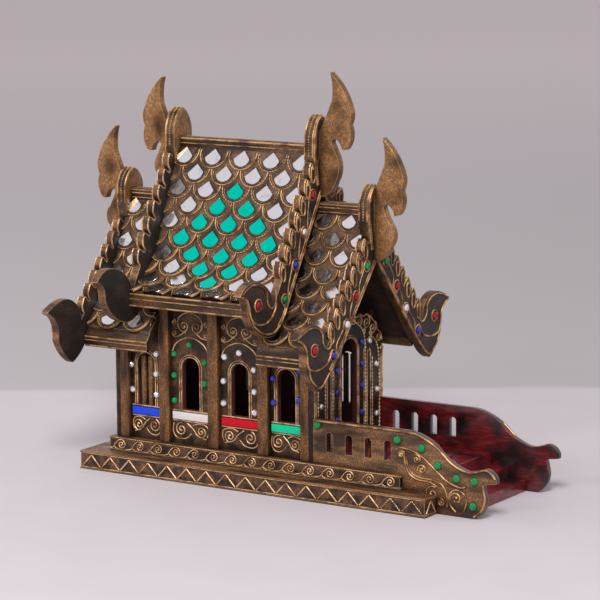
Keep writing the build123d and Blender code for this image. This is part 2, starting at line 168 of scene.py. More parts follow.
@dataclass(frozen=True)
class WornGilt:
    """Gold paint brushed over dark stained wood and rubbed back.

    The eye sees brown-gold with grit in it, dark wood where the brush missed, near-black painted shade in the
    hollows and corners, and brighter gold along the edges, partly rubbed wear and partly a painted highlight.
    """

    name: str
    gold: str
    bright: str
    wood: str
    gold_share: float = 0.62
    patch_mm: float = 14.0
    stroke: tuple[float, float, float] = (1.0, 1.0, 1.0)
    grit_mm: float = 0.9
    # How far the occlusion test reaches and how dark it makes hollows and corners: painted shade
    shade_reach_mm: float = 5.0
    painted_shade_strength: float = 0.92
    roughness: float = 0.46
    metal: float = 0.35
    bump: float = 0.25
    # Dark stain colour: a random stain over the wood, and also the colour of the painted shade in hollows
    stain_and_shade: str = "150B07"
    # Rubbed gold for the edges: partly real wear and partly a painted edge highlight
    rubbed: str = "C79A62"
    edge_mm: float = 0.8

    def make(self) -> bpy.types.Material:
        """Builds the material."""
        mixed = Recipe(self.name)
        gold, bright, wood, stain_and_shade, rubbed = map(linear, (self.gold, self.bright, self.wood, self.stain_and_shade, self.rubbed))
        strokes = mixed.add("Mapping", {"Vector": mixed.where, "Scale": self.stroke})
        grit = mixed.add("TexNoise", {"Vector": mixed.where, "Scale": 1 / (self.grit_mm * MM), "Detail": 3.0})
        # Painted shade: an occlusion test darkens hollows, creases and corners towards the dark stain colour
        occlusion_shade = mixed.add("AmbientOcclusion", {"Distance": self.shade_reach_mm * MM}, "AO", samples=6)
        # Edge test from a bevel normal: brighter gold on edges, partly rubbed wear and partly a painted highlight
        turned = mixed.add("VectorMath", {
            0: mixed.add("Bevel", {"Radius": self.edge_mm * MM}, samples=4),
            1: mixed.add("NewGeometry", output="Normal")}, "Value", operation="DOT_PRODUCT")
        # Masks: bright specks, missed brushing, the edges (rubbed wear and painted highlight), depth (painted shade in
        # hollows), roughness
        glints, missed, edges, depth, sheen = (
            mixed.add("MapRange", {0: value, 1: low, 2: high, 3: start, 4: end}, interpolation_type="SMOOTHSTEP")
            for value, low, high, start, end in (
                (grit, 0.45, 0.75, 0.0, 1.0), (grit, 0.40, 0.62, 0.45, 0.0), (turned, 0.995, 0.92, 0.0, 0.75),
                (occlusion_shade, 0.25, 0.95, self.painted_shade_strength, 0.0),
                (grit, 0.3, 0.7, self.roughness + 0.15, self.roughness - 0.08)))
        gold_coat = mixed.add("Mix", {0: glints, 6: gold, 7: bright}, 2, data_type="RGBA")
        middle = 0.5 + (0.5 - self.gold_share) * 0.3
        colour = mixed.coat(mixed.coat(wood, stain_and_shade, (6.0, 4.0)), gold_coat, (self.patch_mm, 6.0),
                            (middle - 0.13, middle + 0.13), where=strokes)
        colour = mixed.coat(colour, wood, (2.2, 3.0), (0.36, 0.60), (0.42, 0.0), strokes)
        # Last coats: dark wood where the brush missed, edge gold that is partly rubbed wear and partly a painted
        # highlight, then painted shade
        for share, over in ((missed, wood), (edges, rubbed), (depth, stain_and_shade)):
            colour = mixed.add("Mix", {0: share, 6: colour, 7: over}, 2, data_type="RGBA")
        bump = mixed.add("Bump", {"Height": grit, "Strength": self.bump, "Distance": 0.3 * MM})
        return mixed.close({"Base Color": colour, "Metallic": self.metal, "Roughness": sheen, "Normal": bump})


@dataclass(frozen=True)
class RubbedThread:
    """Squeezed bead lines with gold rubbed over their tops.

    The eye sees thin bright gold lines that fade to brown where the rubbing missed.
    """

    name: str = "rubbed_gold_bead_line"
    gold: str = "C69A66"
    brown: str = "704A2C"

    def make(self) -> bpy.types.Material:
        """Builds the material."""
        mixed = Recipe(self.name)
        brown = linear(self.brown)
        worn = mixed.coat(brown, linear(self.gold), (7.0, 4.0), (0.36, 0.58))
        colour = mixed.coat(worn, brown, (0.8, 2.0), (0.35, 0.6), (0.4, 0.0))
        return mixed.close({"Base Color": colour, "Metallic": 0.35, "Roughness": 0.38})


@dataclass(frozen=True)
class RedLacquer:
    """Dark red lacquer over stained wood, glossy, with black worn patches and brush marks."""

    name: str = "brushed_dark_red_lacquer"
    red: str = "480A0E"
    bright: str = "6A1519"
    black: str = "0F0405"
    black_share: float = 0.50

    def make(self) -> bpy.types.Material:
        """Builds the material."""
        mixed = Recipe(self.name)
        streak = mixed.add("Mapping", {"Vector": mixed.where, "Scale": (0.25, 1.0, 2.0)})
        grain = mixed.add("TexNoise", {"Vector": streak, "Scale": 1 / (2.5 * MM), "Detail": 4.0})
        red = mixed.coat(linear(self.red), linear(self.bright), (2.5, 4.0), (0.42, 0.66), where=streak)
        colour = mixed.coat(linear(self.black), red, (16.0, 5.0), (self.black_share - 0.12, self.black_share + 0.16))
        bump = mixed.add("Bump", {"Height": grain, "Strength": 0.22, "Distance": 0.25 * MM})
        return mixed.close({"Base Color": colour, "Roughness": 0.34, "Coat Weight": 0.35, "Coat Roughness": 0.18,
                            "Normal": bump})


@dataclass(frozen=True)
class CloudedFinish:
    """One even colour, clouded a little with a second: cut mirror, painted or foiled glass, stain or putty.

    The eye sees glass as a clear flat colour under a gloss, mirror a little dimmed and out of true, and the
    stained inside walls as near black.
    """

    name: str
    colour: str
    deep: str
    roughness: float = 0.10
    metal: float = 0.45
    gloss: float = 0.5
    grain: Point = (3.0, 2.0)
    levels: Point | None = (0.50, 0.85)
    ripple: float = 0.0

    def make(self) -> bpy.types.Material:
        """Builds the material."""
        mixed = Recipe(self.name)
        colour = mixed.coat(linear(self.colour), linear(self.deep), self.grain, self.levels)
        inputs = {"Base Color": colour, "Metallic": self.metal, "Roughness": self.roughness,
                  "Specular IOR Level": self.gloss}
        if self.ripple:
            waves = mixed.add("TexNoise", {"Vector": mixed.where, "Scale": 1 / (4.0 * MM), "Detail": 1.0})
            inputs["Normal"] = mixed.add("Bump", {"Height": waves, "Strength": self.ripple, "Distance": 0.4 * MM})
        return mixed.close(inputs)


Finish = WornGilt | RubbedThread | RedLacquer | CloudedFinish


@cache
def material_of(finish: Finish) -> bpy.types.Material:
    """Makes a finish the first time and hands out the same material afterwards."""
    return finish.make()


# Gold paint on wood: brown-gold streaks along the boards and up the posts, brighter gold on the horns
ALONG, UPRIGHT = (0.22, 1.0, 1.0), (1.0, 1.0, 0.26)
# Window bars: less painted shade in their hollows, and a lighter gold that offsets the shade in the window as painted
# light
GILT_BAR = WornGilt("gold_paint_on_window_bars", "86603A", "B0824E", "3F2917", 0.66, 14.0, UPRIGHT, shade_reach_mm=1.5,
                    painted_shade_strength=0.4)
GILT_POST = WornGilt("gold_paint_on_posts", "7E532E", "AE7A44", "3B2614", 0.66, 8.0, UPRIGHT)
GILT_PLINTH = WornGilt("gold_paint_on_plinth", "865C3A", "B48455", "3A2518", 0.56, 9.0, ALONG)
GILT_ROOF = WornGilt("dull_gold_paint_on_roof_scales", "705340", "94714F", "33231A", 0.54)
GILT_EAVE = WornGilt("gold_paint_on_eave_boards", "64462B", "8F6A42", "291A10", 0.48, 14.0, ALONG)
GILT_BOARD = WornGilt("gold_paint_on_gable_board_edges", "6E4E2C", "A37A48", "2F1F12", 0.52)
GILT_HORN = WornGilt("bright_gold_paint_on_horns", "A07248", "CB9A68", "54381F", 0.74, 22.0, grit_mm=0.8,
                     painted_shade_strength=0.8, roughness=0.36, metal=0.6, bump=0.2)
GILT_RAIL = WornGilt("gold_paint_on_balustrade", "845B39", "B0804F", "3A2718", 0.60, 9.0, ALONG)
# Darker grounds: they set off the relief; on board faces and under the roof the stain outweighs the gold.
# # The end walls, board fronts and backs, plate fronts and roof undersides are also darkened as painted shade.
GROUND = WornGilt("dark_ground_behind_relief", "5C3F28", "845C3A", "27170E", 0.50, 9.0)
PLINTH_GROUND = WornGilt("rubbed_ground_on_plinth", "6B4931", "8F6441", "2E1C12", 0.52, 9.0)
# End walls: a darker ground that is partly painted shade on faces turned from the light
END_GROUND = WornGilt("darker_ground_on_end_walls", "38251B", "543A2A", "140B08", 0.40, 9.0)
# Board fronts: dark stain and painted shade; board backs: painted shade only
BOARD_FACE = WornGilt("dark_stained_board_face", "37241A", "553B2B", "1A100B", 0.40, metal=0.1, roughness=0.55)
BACK_FACE = WornGilt("painted_shade_on_back_of_boards", "2E211A", "4A382C", "17100B", 0.35, metal=0.05, roughness=0.6)
# Under the roofs and on the gable walls: dark stain and painted shade
UNDER_ROOF = WornGilt("dark_stain_under_roof", "3A2618", "4E3522", "1E120B", 0.40, metal=0.05, roughness=0.6)
# Bead lines: thin bright gold, paler on the walls and friezes, and separate dots round the door, pale gold whitened as
# a painted highlight
THREAD = RubbedThread()
PALE_THREAD = RubbedThread("pale_rubbed_gold_bead_line", "DDB587", "8C6440")
HIGHLIT_DOTS = RubbedThread("bright_gold_dots", "EFD6A8", "B98F5E")
# Red lacquer: near-black red inside the balustrades, brighter red on the treads
RED = RedLacquer()
STEP_RED = RedLacquer("brighter_red_lacquer_on_steps", "5E0D15", "861A22", "1A0507", 0.44)
# Stain and putty: brown-red gloom inside the hall, and a dark line round each mirror, partly putty and partly a painted
# shadow gap
INSIDE, PUTTY_AND_SHADOW = (CloudedFinish(name, brown, black, 0.7, 0.0, grain=(9.0, 4.0), levels=None)
                 for name, brown, black in (("dark_stained_inside", "5A1713", "1E0706"),
                                            ("dark_putty_bed_under_mirrors", "3A1A0C", "1C0D07")))
# Hand-cut mirror: bright silver, darker grey on chosen tiles as a painted dim reflection, and clear green for the
# diamond
SILVER, DIM_REFLECTION, GREEN = (
    CloudedFinish(name, colour, cloud, roughness, 1.0, grain=(5.0, 3.0), levels=(0.50, 0.80), ripple=ripple)
    for name, colour, cloud, roughness, ripple in (
        ("silvered_mirror_glass", "E4E2E6", "CDC9CC", 0.10, 0.06),
        ("old_smoked_mirror_glass", "97918D", "4C4744", 0.22, 0.9),
        ("green_mirror_glass", "02D8BF", "00C6AC", 0.14, 0.06)))
MIRRORS = {"silver": (SILVER, Slot.MIRROR), "dim_reflection": (DIM_REFLECTION, Slot.MIRROR), "green": (GREEN, Slot.GREEN)}
# Coloured glass: flat bright strips, and small stones with a glint on their facets
STRIPS = {hue: CloudedFinish(f"{hue}_back_painted_glass", colour, deep, 0.25, 0.0, 0.2) for hue, colour, deep in (
    ("blue", "1B42CC", "1733A4"), ("white", "CDC6C4", "BDB4B4"), ("red", "B8041E", "930D1F"),
    ("green", "03B886", "02966E"))}
JEWELS = {
    "green": CloudedFinish("green_foiled_glass_stone", "1E8A4E", "0C4A2C"),
    "white": CloudedFinish("clear_foiled_glass_stone", "E9E6E8", "9C9896", 0.08, 0.70),
    "blue": CloudedFinish("blue_foiled_glass_stone", "3A3AA8", "1B1B62"),
    "red": CloudedFinish("red_foiled_glass_stone", "A2182A", "520A14"),
}


# Mesh helpers


def only(*objects: bpy.types.Object) -> None:
    """Leaves just these objects selected, the first one active."""
    bpy.ops.object.select_all(action="DESELECT")
    for piece in objects:
        piece.select_set(True)
    bpy.context.view_layer.objects.active = objects[0]


def fresh(kind: str, **settings: object) -> bpy.types.Object:
    """Adds a primitive with nothing else selected and puts its place into its mesh.

    Args:
        kind: the primitive's name in its operator.
        **settings: the operator's settings, in metres.

    Returns:
        The new object, at the origin.
    """
    bpy.ops.object.select_all(action="DESELECT")
    getattr(bpy.ops.mesh, f"primitive_{kind}_add")(**settings)
    bpy.ops.object.transform_apply(location=True, rotation=True, scale=True)
    return bpy.context.view_layer.objects.active


@contextmanager
def editing(piece: bpy.types.Object) -> Iterator[None]:
    """Opens a piece in edit mode, face mode, with nothing selected, and closes it afterwards."""
    only(piece)
    bpy.ops.object.mode_set(mode="EDIT")
    bpy.ops.mesh.select_mode(type="FACE")
    bpy.ops.mesh.select_all(action="DESELECT")
    yield
    bpy.ops.object.mode_set(mode="OBJECT")


def pick_faces(piece: bpy.types.Object, test: Callable[[Vector, Vector], bool]) -> int:
    """Selects the faces of the piece in edit mode that pass a test.

    Args:
        piece: the object being edited.
        test: takes a face's centre and normal.

    Returns:
        How many faces were selected.
    """
    mesh = bmesh.from_edit_mesh(piece.data)
    count = 0
    for face in mesh.faces:
        chosen = test(face.calc_center_median(), face.normal)
        face.select_set(chosen)
        count += chosen
    bmesh.update_edit_mesh(piece.data)
    return count


def cut(place_mm: Sequence[float], normal: Sequence[float]) -> None:
    """Cuts all of the mesh in edit mode by a plane and clears what its normal points to."""
    bpy.ops.mesh.select_all(action="SELECT")
    bpy.ops.mesh.bisect(plane_co=Vector(place_mm) * MM, plane_no=normal, clear_outer=True)


def thicken(depth_mm: float) -> None:
    """Gives the flat sheet in edit mode a thickness along Z, with its faces turned outwards."""
    bpy.ops.mesh.select_all(action="SELECT")
    bpy.ops.mesh.extrude_region_move(TRANSFORM_OT_translate={"value": (0, 0, depth_mm * MM)})
    bpy.ops.mesh.select_all(action="SELECT")
    bpy.ops.mesh.normals_make_consistent(inside=False)


def smooth(piece: bpy.types.Object, angle: float = 35.0) -> None:
    """Shades a piece smooth where its faces meet at less than an angle."""
    only(piece)
    bpy.ops.object.shade_smooth_by_angle(angle=math.radians(angle))


def soften(piece: bpy.types.Object, width_mm: float, segments: int = 2, angle: float = 38.0) -> None:
    """Rounds the sharp edges of a piece and shades it smooth between them.

    Args:
        piece: the object.
        width_mm: the bevel's width.
        segments: how many faces go round each edge.
        angle: edges sharper than this, in degrees, are rounded.
    """
    bevel = piece.modifiers.new("worn_edges", "BEVEL")
    bevel.width = width_mm * MM
    bevel.segments = segments
    bevel.limit_method = "ANGLE"
    bevel.angle_limit = math.radians(angle)
    only(piece)
    bpy.ops.object.modifier_apply(modifier=bevel.name)
    smooth(piece)


def join(name: str, pieces: Sequence[bpy.types.Object]) -> bpy.types.Object:
    """Joins pieces into one object, which takes the name, and returns it."""
    only(*pieces)
    if len(pieces) > 1:
        bpy.ops.object.join()
    joined = bpy.context.view_layer.objects.active
    joined.name = joined.data.name = name
    return joined


def copied(piece: bpy.types.Object, place: Matrix) -> bpy.types.Object:
    """A copy of a piece with its own mesh, moved by a matrix, its faces kept outwards.

    Args:
        piece: the object to copy, at the origin.
        place: where the copy goes.

    Returns:
        The copy.
    """
    twin = piece.copy()
    twin.data = piece.data.copy()
    bpy.context.scene.collection.objects.link(twin)
    twin.data.transform(place)
    if place.determinant() < 0:
        twin.data.flip_normals()
    return twin


def paint(piece: bpy.types.Object, finish: Finish) -> bpy.types.Object:
    """Gives a piece one finish and returns the piece."""
    piece.data.materials.clear()
    piece.data.materials.append(material_of(finish))
    return piece


def fit(piece: bpy.types.Object, places: Sequence[Matrix] = (), nodes: Iterable[str] = ()) -> None:
    """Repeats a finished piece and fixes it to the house.

    Args:
        piece: the finished piece, at the origin.
        places: where its copies go.
        nodes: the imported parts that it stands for, which are hidden.
    """
    piece = join(piece.name, [piece, *(copied(piece, place) for place in places)])
    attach(piece, "root")
    if nodes:
        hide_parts(*nodes)


# Flat faces that ornament is laid on


@dataclass(frozen=True)
class Facing:
    """A flat face: where it starts, its two directions and its outward side, in millimetres."""

    origin: Vector
    across: Vector
    up: Vector

    @property
    def out(self) -> Vector:
        """The outward direction."""
        return self.across.cross(self.up).normalized()

    def at(self, u: float, v: float, lift: float = 0.0) -> Vector:
        """A point on the face, in millimetres."""
        return self.origin + self.across * u + self.up * v + self.out * lift

    def matrix(self, u: float, v: float, lift: float = 0.0, turn: float = 0.0) -> Matrix:
        """The place of a small piece made flat on XY in metres, laid on the face."""
        basis = Matrix((self.across, self.up, self.out)).transposed().to_4x4()
        return Matrix.Translation(self.at(u, v, lift) * MM) @ basis @ Matrix.Rotation(turn, 4, "Z")


def right_side(depth: float) -> Facing:
    """The face at the right (-Y) side at a distance from the middle; u is x and v is z."""
    return Facing(-Y * depth, X, Z)


def front_side(depth: float) -> Facing:
    """The face at the stair (+X) end; u is y and v is z."""
    return Facing(X * depth, Y, Z)


def rear_side(depth: float) -> Facing:
    """The face at the rear (-X) end; u is -y and v is z."""
    return Facing(-X * depth, -Y, Z)


# Lines to draw


def arc(centre: Point, radius: float, start: float, end: float, steps: int = 12) -> list[Point]:
    """Points along an arc, angles in degrees."""
    angles = [math.radians(start + (end - start) * k / steps) for k in range(steps + 1)]
    return [(centre[0] + radius * math.cos(a), centre[1] + radius * math.sin(a)) for a in angles]


def curl(centre: Point, radius: float, start: float, turns: float, hand: int, core: float) -> list[Point]:
    """A spiral from its outside in.

    Args:
        centre: the middle.
        radius: the outer radius.
        start: angle of its outer end, in degrees.
        turns: how many turns it makes.
        hand: 1 for anticlockwise inwards, -1 for clockwise.
        core: the inner radius as a share of the outer one.

    Returns:
        The spiral's points.
    """
    steps = max(6, round(turns * 16))
    line = []
    for k in range(steps + 1):
        share = k / steps
        reach = radius * (1 - share * (1 - core))
        angle = math.radians(start + hand * 360 * turns * share)
        line.append((centre[0] + reach * math.cos(angle), centre[1] + reach * math.sin(angle)))
    return line


def flowing(*points: Point, steps: int = 6) -> list[Point]:
    """A smooth line through points, with some steps between each two."""
    padded = [points[0], *points, points[-1]]
    line = []
    for a, b, c, d in zip(padded, padded[1:], padded[2:], padded[3:]):
        for t in (k / steps for k in range(steps)):
            line.append(tuple(
                0.5 * (2 * b[i] + (c[i] - a[i]) * t + (2 * a[i] - 5 * b[i] + 4 * c[i] - d[i]) * t * t
                       + (3 * b[i] - a[i] - 3 * c[i] + d[i]) * t ** 3)
                for i in (0, 1)
            ))
    line.append(tuple(points[-1]))
    return line


def round_topped(centre: float, half: float, foot: float, top: float) -> list[Point]:
    """An arch from its left foot over its round head to its right foot."""
    return [(centre - half, foot), *arc((centre, top - half), half, 180, 0, 14), (centre + half, foot)]


def placed(line: Iterable[Point], across: float = 0.0, scale: float = 1.0) -> list[Point]:
    """The line with its u values scaled, or mirrored by a negative scale, and then moved across."""
    return [(across + u * scale, v) for u, v in line]


@dataclass
class BeadLines:
    """Raised lines squeezed from a nozzle on to the wood, gathered and made into one piece."""

    name: str
    radius_mm: float
    step_mm: float = 0.95
    lines: list[tuple[Sequence[Vector], list[float], bool]] = field(default_factory=list)

    def draw(self, face: Facing, line: Line, size: float = 1.0, texture: Texture = ROPE, blob: float = 0.0,
             closed: bool = False) -> None:
        """Draws a line on a flat face.

        Args:
            face: the face that carries it.
            line: its points on the face in millimetres.
            size: thickness against the set's own.
            texture: how the line is laid down.
            blob: thickness of the last point against the line's, for a curl that ends in a dot.
            closed: joins the end to the start.
        """
        lift = self.radius_mm * size * 0.35
        self.lay([face.at(u, v, lift) for u, v in self.spaced(line, closed)], size, texture, blob, closed)

    def draw_all(self, face: Facing, rows: Iterable[tuple]) -> None:
        """Draws a table of lines on a face; each row holds a line and then draw's size, texture and blob."""
        for row in rows:
            self.draw(face, *row)

    def lay(self, points: Sequence[Vector], size: float = 1.0, texture: Texture = ROPE, blob: float = 0.0,
            closed: bool = False) -> None:
        """Lays a line through points in space, in millimetres; see draw."""
        widths = [size * (1.0 if number % 2 else texture.value) for number in range(len(points))]
        if blob and len(widths) > 2:
            widths[-1] = widths[-2] = size * blob
        self.lines.append((points, widths, closed))

    def spaced(self, line: Line, closed: bool = False) -> list[Point]:
        """Spreads points evenly along a line, about one step apart.

        Args:
            line: its corners.
            closed: whether its end joins its start.

        Returns:
            The spread points.
        """
        corners = [Vector(point) for point in line]
        if closed:
            corners.append(corners[0])
        lengths = [(b - a).length for a, b in zip(corners, corners[1:])]
        total = sum(lengths)
        count = max(2, round(total / self.step_mm))
        spread = []
        leg, done = 0, 0.0
        for number in range(count + (0 if closed else 1)):
            reach = total * number / count
            while leg < len(lengths) - 1 and done + lengths[leg] < reach:
                done += lengths[leg]
                leg += 1
            share = (reach - done) / lengths[leg] if lengths[leg] else 0.0
            spread.append(tuple(corners[leg].lerp(corners[leg + 1], share)))
        return spread

    def build(self, finish: RubbedThread) -> bpy.types.Object:
        """Makes the lines into one mesh.

        Args:
            finish: the lines' finish.

        Returns:
            The bead lines as a mesh at the origin.
        """
        bpy.ops.object.select_all(action="DESELECT")
        bpy.ops.curve.primitive_nurbs_path_add(location=(0, 0, 0))
        tube = bpy.context.view_layer.objects.active
        curve = tube.data
        curve.splines.clear()
        for points, widths, closed in self.lines:
            spline = curve.splines.new("POLY")
            spline.points.add(len(points) - 1)
            for target, point, width in zip(spline.points, points, widths):
                target.co = (*(point * MM), 1.0)
                target.radius = width
            spline.use_cyclic_u = closed
        curve.dimensions = "3D"
        curve.bevel_depth = self.radius_mm * MM
        curve.bevel_resolution = 1
        curve.use_fill_caps = True
        only(tube)
        bpy.ops.object.convert(target="MESH")
        mesh = bpy.context.view_layer.objects.active
        mesh.name = mesh.data.name = self.name
        smooth(mesh, 60.0)
        return paint(mesh, finish)


@dataclass
class Jewels:
    """The round foiled glass stones of one part of the house, cut with a flat table and facets."""

    name: str
    radius_mm: float = 2.4
    spots: dict[str, list[tuple[Matrix, float]]] = field(default_factory=lambda: {colour: [] for colour in JEWELS})

    def put(self, colour: str, face: Facing, spots: Iterable[Point], size: float = 1.0, lift: float = 0.0) -> None:
        """Adds stones of one colour on a face.

        Args:
            colour: the stones' colour.
            face: the face that carries them.
            spots: where they go on it.
            size: their size against the set's own.
            lift: how far off the face they sit, in millimetres.
        """
        for u, v in spots:
            self.spots[colour].append((face.matrix(u, v, lift, turn=u * 0.7 + v), size))

    def stone(self) -> bpy.types.Object:
        """One stone: a short many-sided drum, its top drawn in to a table, with facets between."""
        gem = fresh("cylinder", vertices=10, radius=self.radius_mm * MM, depth=1.4 * MM, location=(0, 0, 0.2 * MM))
        with editing(gem):
            pick_faces(gem, lambda centre, normal: normal.z > 0.9)
            for thickness, depth in ((0.55, 0.7), (0.45, 0.25)):
                bpy.ops.mesh.inset(thickness=thickness * MM, depth=depth * MM)
        return gem

    def build(self, places: Sequence[Matrix]) -> None:
        """Makes the stones of every colour and repeats them elsewhere."""
        for colour, spots in self.spots.items():
            if spots:
                gem = self.stone()
                stones = [copied(gem, place @ Matrix.Diagonal((size, size, min(size, 1.15), 1)))
                          for place, size in spots]
                bpy.data.objects.remove(gem)
                fit(paint(join(f"{self.name}_{colour}_stones", stones), JEWELS[colour]), places)


# Carved wood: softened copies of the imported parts


def inside_hall(centre: Vector, normal: Vector) -> bool:
    """Whether a face is on the inside of the hall."""
    return abs(centre.y) < 38.7 * MM and abs(centre.x) < 81.2 * MM


def rail_inside(centre: Vector, normal: Vector) -> bool:
    """Whether a face of a balustrade is on its inside or top, which are lacquered."""
    inward = normal.y * centre.y < 0 and abs(normal.y) > 0.9
    return inward or (abs(normal.y) < 0.5 and abs(centre.y) < 46.9 * MM)


def plate_front(centre: Vector, normal: Vector) -> bool:
    """Whether a face of a horn is the flat front of its apex plate."""
    return abs(normal.x) > 0.9 and any(abs(abs(centre.x) - face * MM) < 0.3 * MM for face in (63.5, 108.0))


def plate_rim(centre: Vector, normal: Vector) -> bool:
    """Whether a face of a horn is on the narrow side of its apex plate."""
    return abs(normal.x) < 0.5 and abs(centre.y) > 3.4 * MM and any(
        abs(abs(centre.x) - face * MM) < 4.2 * MM for face in (59.5, 104.0))


def board_front(centre: Vector, normal: Vector) -> bool:
    """Whether a face of a bargeboard looks out from the house."""
    return abs(normal.x) > 0.9 and normal.x * centre.x > 0


def board_back(centre: Vector, normal: Vector) -> bool:
    """Whether a face of a bargeboard looks back over the roof."""
    return abs(normal.x) > 0.9 and normal.x * centre.x < 0


def board_rim(centre: Vector, normal: Vector) -> bool:
    """Whether a face of a bargeboard is on its upper edge or on its fins."""
    return abs(normal.x) < 0.5 and (normal.z > 0.1 or normal.y * centre.y > 0)


def sunk_ground(centre: Vector, normal: Vector) -> bool:
    """Whether a face of a plinth lies back between its rims."""
    return abs(normal.z) < 0.5 and (1.3 * MM < centre.z < 12.1 * MM or 14.7 * MM < centre.z < 22.2 * MM)


def window_reveal(centre: Vector, normal: Vector) -> bool:
    """Whether a face of a wall panel is inside the hall or in its window."""
    in_window = abs(normal.y) < 0.6 and 48.0 * MM < centre.z < 87.0 * MM and any(
        abs(abs(centre.x) - middle * MM) < 7.6 * MM for middle in (21.25, 60.4))
    return in_window or inside_hall(centre, normal)


def door_reveal(centre: Vector, normal: Vector) -> bool:
    """Whether a face of an end wall is inside the hall or in the doorway."""
    in_door = abs(normal.x) < 0.6 and abs(centre.y) < 10.8 * MM and centre.z < 104.4 * MM
    return in_door or inside_hall(centre, normal)


def under_roof(centre: Vector, normal: Vector) -> bool:
    """Whether a face of a roof half is on its underside."""
    return normal.z < 0.1 and abs(normal.y) < 0.99


@dataclass
class CarvedWood:
    """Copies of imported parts, welded, cleared of flat seams and given worn edges."""

    name: str
    nodes: tuple[str, ...]
    finish: WornGilt | RedLacquer
    edge_mm: float
    others: tuple[tuple[Callable[[Vector, Vector], bool], Finish], ...] = ()
    slot: Slot = Slot.GILT

    def build(self) -> None:
        """Makes the softened wood, each face in its finish, and fixes it to the house."""
        blocks = []
        for node in self.nodes:
            block = bpy.data.objects.new(node + "_wood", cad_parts[node].data.copy())
            bpy.context.scene.collection.objects.link(block)
            paint(block, self.finish)
            for _, finish in self.others:
                block.data.materials.append(material_of(finish))
            for face in block.data.polygons:
                face.material_index = 0
            with editing(block):
                bpy.ops.mesh.select_all(action="SELECT")
                bpy.ops.mesh.remove_doubles(threshold=0.002 * MM)
                bpy.ops.mesh.dissolve_limited(angle_limit=math.radians(0.6))
                for number, (test, _) in enumerate(self.others, start=1):
                    if pick_faces(block, test):
                        block.active_material_index = number
                        bpy.ops.object.material_slot_assign()
            soften(block, self.edge_mm)
            blocks.append(block)
        fit(join(self.name, blocks), nodes=self.nodes)
        log.info("%s: %d parts", self.name, len(self.nodes))


def wooden_parts() -> list[CarvedWood]:
    """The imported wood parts, grouped by finish."""
    ends, sides, levels, bays = ("front", "rear"), ("left", "right"), ("main", "low"), (
        "rear", "mid_rear", "mid_front", "front")
    return [
        CarvedWood("plinths", ("lower_plinth", "upper_plinth"), GILT_PLINTH, 0.5, ((sunk_ground, PLINTH_GROUND),)),
        CarvedWood("posts", tuple(f"{s}_posts" for s in sides), GILT_POST, 0.6, ((inside_hall, INSIDE),)),
        CarvedWood("wall_panels", tuple(f"{s}_wall_{b}" for s in sides for b in bays), GROUND, 0.35,
                   ((window_reveal, INSIDE),)),
        # End walls on the darker ground, partly painted shade
        CarvedWood("end_panels", tuple(f"{e}_wall" for e in ends), END_GROUND, 0.5, ((door_reveal, INSIDE),)),
        # Gable walls, and the undersides and ends of the roof boards: dark stain and painted shade
        CarvedWood("gable_walls", tuple(f"{e}_gable_wall" for e in ends), UNDER_ROOF, 0.3),
        CarvedWood("roof_boards", tuple(f"{r}_roof_{s}" for r in ("main", *ends) for s in sides), GILT_EAVE, 0.3,
                   ((under_roof, UNDER_ROOF),)),
        CarvedWood("ridge_caps", tuple(f"{r}_ridge_cap" for r in ("main", *ends)), GILT_EAVE, 0.4),
        # Bargeboards: dark fronts and darker backs as painted shade, upper edges and fins brighter gold, partly paint
        # and partly painted light
        CarvedWood("gable_boards", tuple(f"{lv}_{e}_board_{s}" for lv in levels for e in ends for s in sides),
                   GILT_BOARD, 0.7, ((board_front, BOARD_FACE), (board_back, BACK_FACE), (board_rim, GILT_PLINTH))),
        # Apex plates: a dark front, partly stain and partly painted shade, and a gold narrow side
        CarvedWood("horns", tuple(f"{lv}_{e}_horn" for lv in levels for e in ends), GILT_HORN, 1.3,
                   ((plate_rim, GILT_BOARD), (plate_front, BOARD_FACE))),
        CarvedWood("balustrades", tuple(f"{s}_balustrade" for s in sides), GILT_RAIL, 0.5, ((rail_inside, RED),)),
        CarvedWood("floor_and_stair", ("floor_board", "front_stair"), STEP_RED, 0.5, slot=Slot.RED),
    ]


# Roof


@dataclass(frozen=True)
class Slope:
    """A roof's upper surface: ridge, bend and eave as (out, up), with its bend rounded, in millimetres."""

    ridge: Point
    bend: Point
    eave: Point
    radius: float = 60.0

    def at(self, reach: float) -> tuple[float, float, float]:
        """The point a distance down the slope from the ridge.

        Args:
            reach: distance along the surface.

        Returns:
            Distance out, height, and the slope's angle below level in radians.
        """
        top, bend, end = Vector(self.ridge), Vector(self.bend), Vector(self.eave)
        steep, shallow = (bend - top).normalized(), (end - bend).normalized()
        first = math.atan2(-steep.y, steep.x)
        second = math.atan2(-shallow.y, shallow.x)
        turn = first - second
        eased = self.radius * math.tan(turn / 2)
        straight = (bend - top).length - eased
        curved = self.radius * turn
        if reach <= straight:
            point, angle = top + steep * reach, first
        elif reach <= straight + curved:
            angle = first - (reach - straight) / self.radius
            point = top + steep * straight + Vector((
                self.radius * (math.sin(first) - math.sin(angle)),
                -self.radius * (math.cos(angle) - math.cos(first)),
            ))
        else:
            point, angle = bend + shallow * (eased + reach - straight - curved), second
        return point.x, point.y, angle

    def place(self, x: float, reach: float, lift: float, tilt: float) -> Matrix:
        """The place of a small piece on the right-hand slope, made flat with +Y up the slope.

        Args:
            x: where along the ridge.
            reach: distance down the slope.
            lift: height off the boards.
            tilt: turn about X, in radians.

        Returns:
            The piece's matrix, in metres.
        """
        out, up, angle = self.at(reach)
        along = Vector((0, math.cos(angle), math.sin(angle)))
        normal = X.cross(along)
        spot = (Vector((x, -out, up)) + normal * lift) * MM
        basis = Matrix((X, along, normal)).transposed().to_4x4()
        return Matrix.Translation(spot) @ basis @ Matrix.Rotation(tilt, 4, "X")


